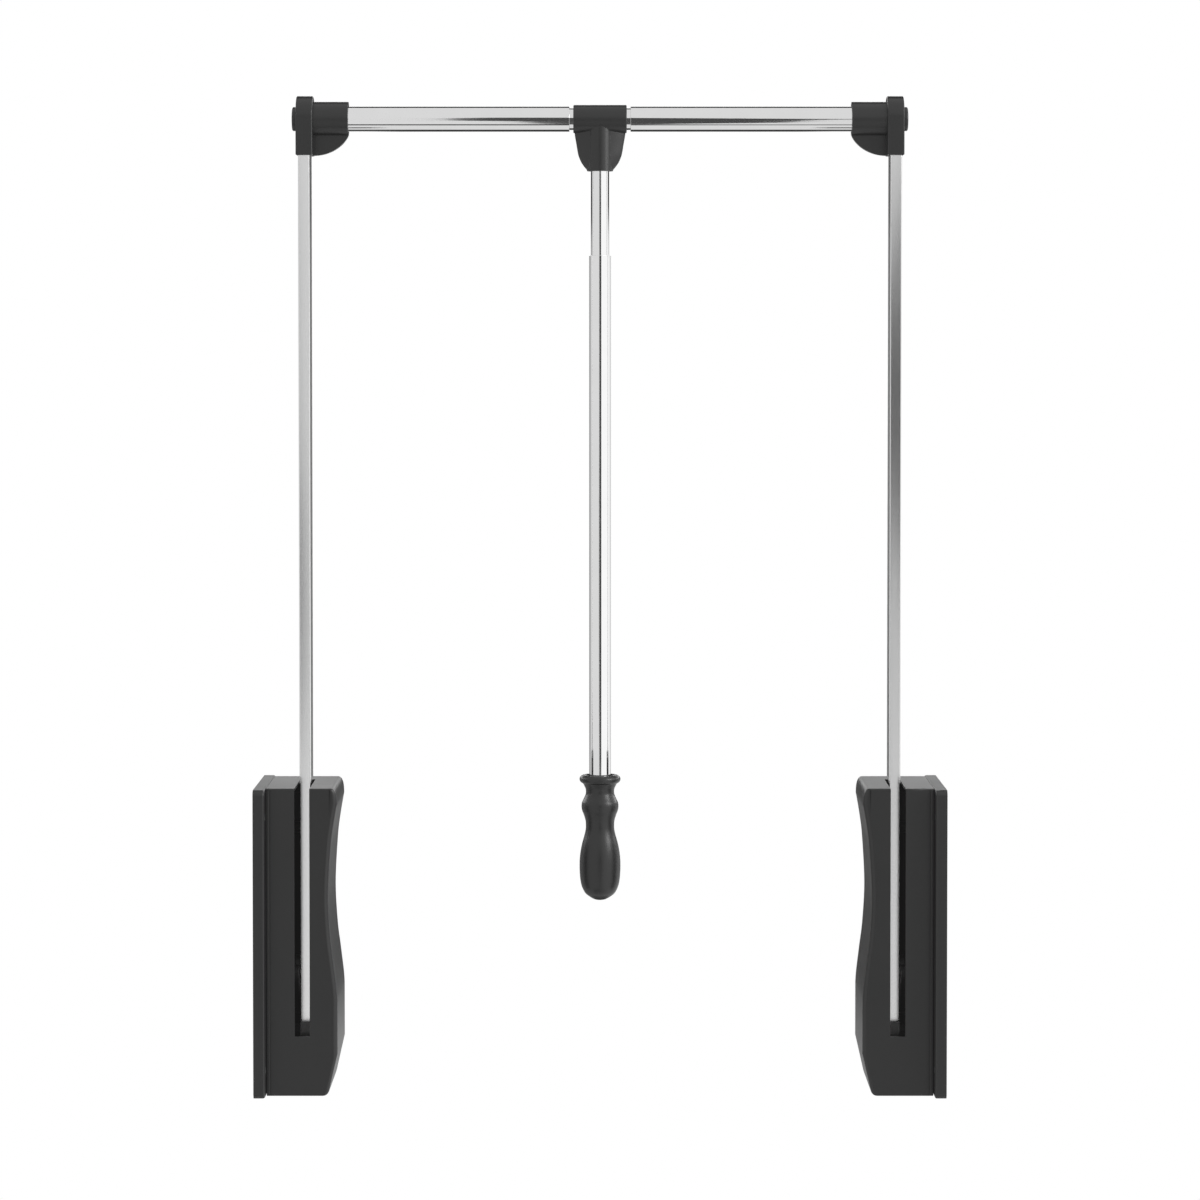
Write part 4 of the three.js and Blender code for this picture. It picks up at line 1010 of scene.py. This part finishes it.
# %% Tee wing
tee_shares = [(0.11, 0.95), (0.275, 0.95), (0.47, 0.889), (0.67, 0.822), (0.77, 0.757), (0.845, 0.688),
              (0.925, 0.579), (0.966, 0.51), (1, 0.476)]
tee_drop, tee_half, tee_half_depth, lens_power, lens_points = 45.5, 23.4, 8.3, 1.48, 96
reach_before, drop_before = 0.95, 5
lens = []
for i in range(lens_points):
    angle = i * 360 / lens_points * deg
    x, y = (math.copysign(abs(part)**lens_power, part) for part in (math.cos(angle), math.sin(angle)))
    lens.append((reach_before * tee_half * x * mm, pivot_y + tee_half_depth * y * mm,
                 rail_z - drop_before * mm))
tee = draw("tee_body", lens)
with editing(tee):
    for share, reach in spline(tee_shares, 32):
        drop = share * tee_drop
        extrude(0, 0, (drop_before - drop) * mm)
        bpy.ops.transform.resize(value=(reach / reach_before, 1, 1), center_override=(0, pivot_y, 0))
        reach_before, drop_before = reach, drop
    bpy.ops.mesh.select_all(action="SELECT")
    bpy.ops.mesh.normals_make_consistent(inside=False)
print("wing faces:", len(tee.data.polygons))

# %% Tee boss, sleeve and bores
neck_radius, neck_flattening, sleeve_radius = 11.15, 0.93, 12.3
boss = bar("boss", neck_radius * mm, (0, pivot_y, rail_z),
           (0, pivot_y, rail_z - tee_drop * mm - 0.1 * mm), 96)
with editing(boss, "VERT"):
    bpy.ops.transform.resize(value=(1, neck_flattening, 1), center_override=(0, pivot_y, 0))
sleeve = bar("sleeve", sleeve_radius * mm, (-tee_half * mm, pivot_y, rail_z),
             (tee_half * mm, pivot_y, rail_z), 96)
round_edges(sleeve, 0.8 * mm, 60, 3)
combine(tee, "UNION", [boss, sleeve])
screw = centre("tee_screw")
combine(tee, "DIFFERENCE", [
    bar("bore", 9.8 * mm, (-30 * mm, pivot_y, rail_z), (30 * mm, pivot_y, rail_z), 96),
    bar("bore", 8.3 * mm, (0, pivot_y, rail_z - 12.5 * mm), (0, pivot_y, rail_z - 60 * mm), 96),
    bar("bore", screw_pilot * mm, (0, pivot_y, screw.z), (0, pivot_y + 20 * mm, screw.z)),
    bar("bore", driver_bore * mm, (0, pivot_y + 8.9 * mm, screw.z), (0, pivot_y + 20 * mm, screw.z))])
print("tee faces:", len(tee.data.polygons))
hand_over(tee, "pull_rod", "tee", "black_plastic")

# %% [markdown]
# ## Handle
#
# The handle is turned: a fat round lip with a dish in it, a ring, a waist and a long round grip. Half of
# its section is drawn as a line and spun round the rod. The line is a smooth curve through the CAD model's
# own profile, and the lip is nearly a circle, with a crease below it.

# %% Profile of the handle
handle_shares = [(0, 0), (0.0045, 0.21), (0.0154, 0.381), (0.047, 0.663), (0.078, 0.801), (0.119, 0.903),
                 (0.167, 0.959), (0.232, 0.989), (0.28, 0.994), (0.329, 0.986), (0.393, 0.942),
                 (0.457, 0.863), (0.522, 0.752), (0.565, 0.697), (0.596, 0.688), (0.634, 0.704),
                 (0.683, 0.79), (0.715, 0.867), (0.747, 0.898), (0.78, 0.876), (0.811, 0.79),
                 (0.844, 0.704), (0.868, 0.684), (0.8925, 0.707), (0.924, 0.798), (0.9315, 0.83)]
handle_length, handle_radius, handle_low = 110.7, 18.1, 163.3
lip_r, lip_z, lip_wide, lip_high = 14.2, 107, 3.85, 3.7
grip_bore, bore_end = 9.8, handle_length - 74
profile = [(r * handle_radius, z * handle_length) for z, r in spline(handle_shares, 100)]
for i in range(12):
    angle = (-66 + i * 14.5) * deg
    profile.append((lip_r + lip_wide * math.cos(angle), lip_z + lip_high * math.sin(angle)))
profile += [(13.2, handle_length - 0.3), (12.5, handle_length - 0.9), (11.6, handle_length - 1.5),
            (grip_bore, handle_length - 1.6), (grip_bore, bore_end), (0, bore_end)]
profile = [(max(r, 0), z) for r, z in profile]
print("points of the handle's profile:", len(profile))

# %% Handle
handle = draw("handle_grip", [(r * mm, pivot_y, (handle_low + z) * mm) for r, z in profile], closed=False)
with editing(handle, "VERT"):
    bpy.ops.mesh.spin(steps=96, angle=360 * deg, center=(0, pivot_y, 0), axis=(0, 0, 1))
    bpy.ops.mesh.select_all(action="SELECT")
    bpy.ops.mesh.remove_doubles(threshold=0.003 * mm)
    bpy.ops.mesh.normals_make_consistent(inside=False)
screw = centre("handle_screw")
combine(handle, "DIFFERENCE", [
    bar("bore", screw_pilot * mm, (0, pivot_y, screw.z), (0, pivot_y + 25 * mm, screw.z)),
    bar("bore", driver_bore * mm, (0, screw.y + 0.3 * mm, screw.z), (0, pivot_y + 25 * mm, screw.z))])
hand_over(handle, "grip", "handle", "black_plastic")
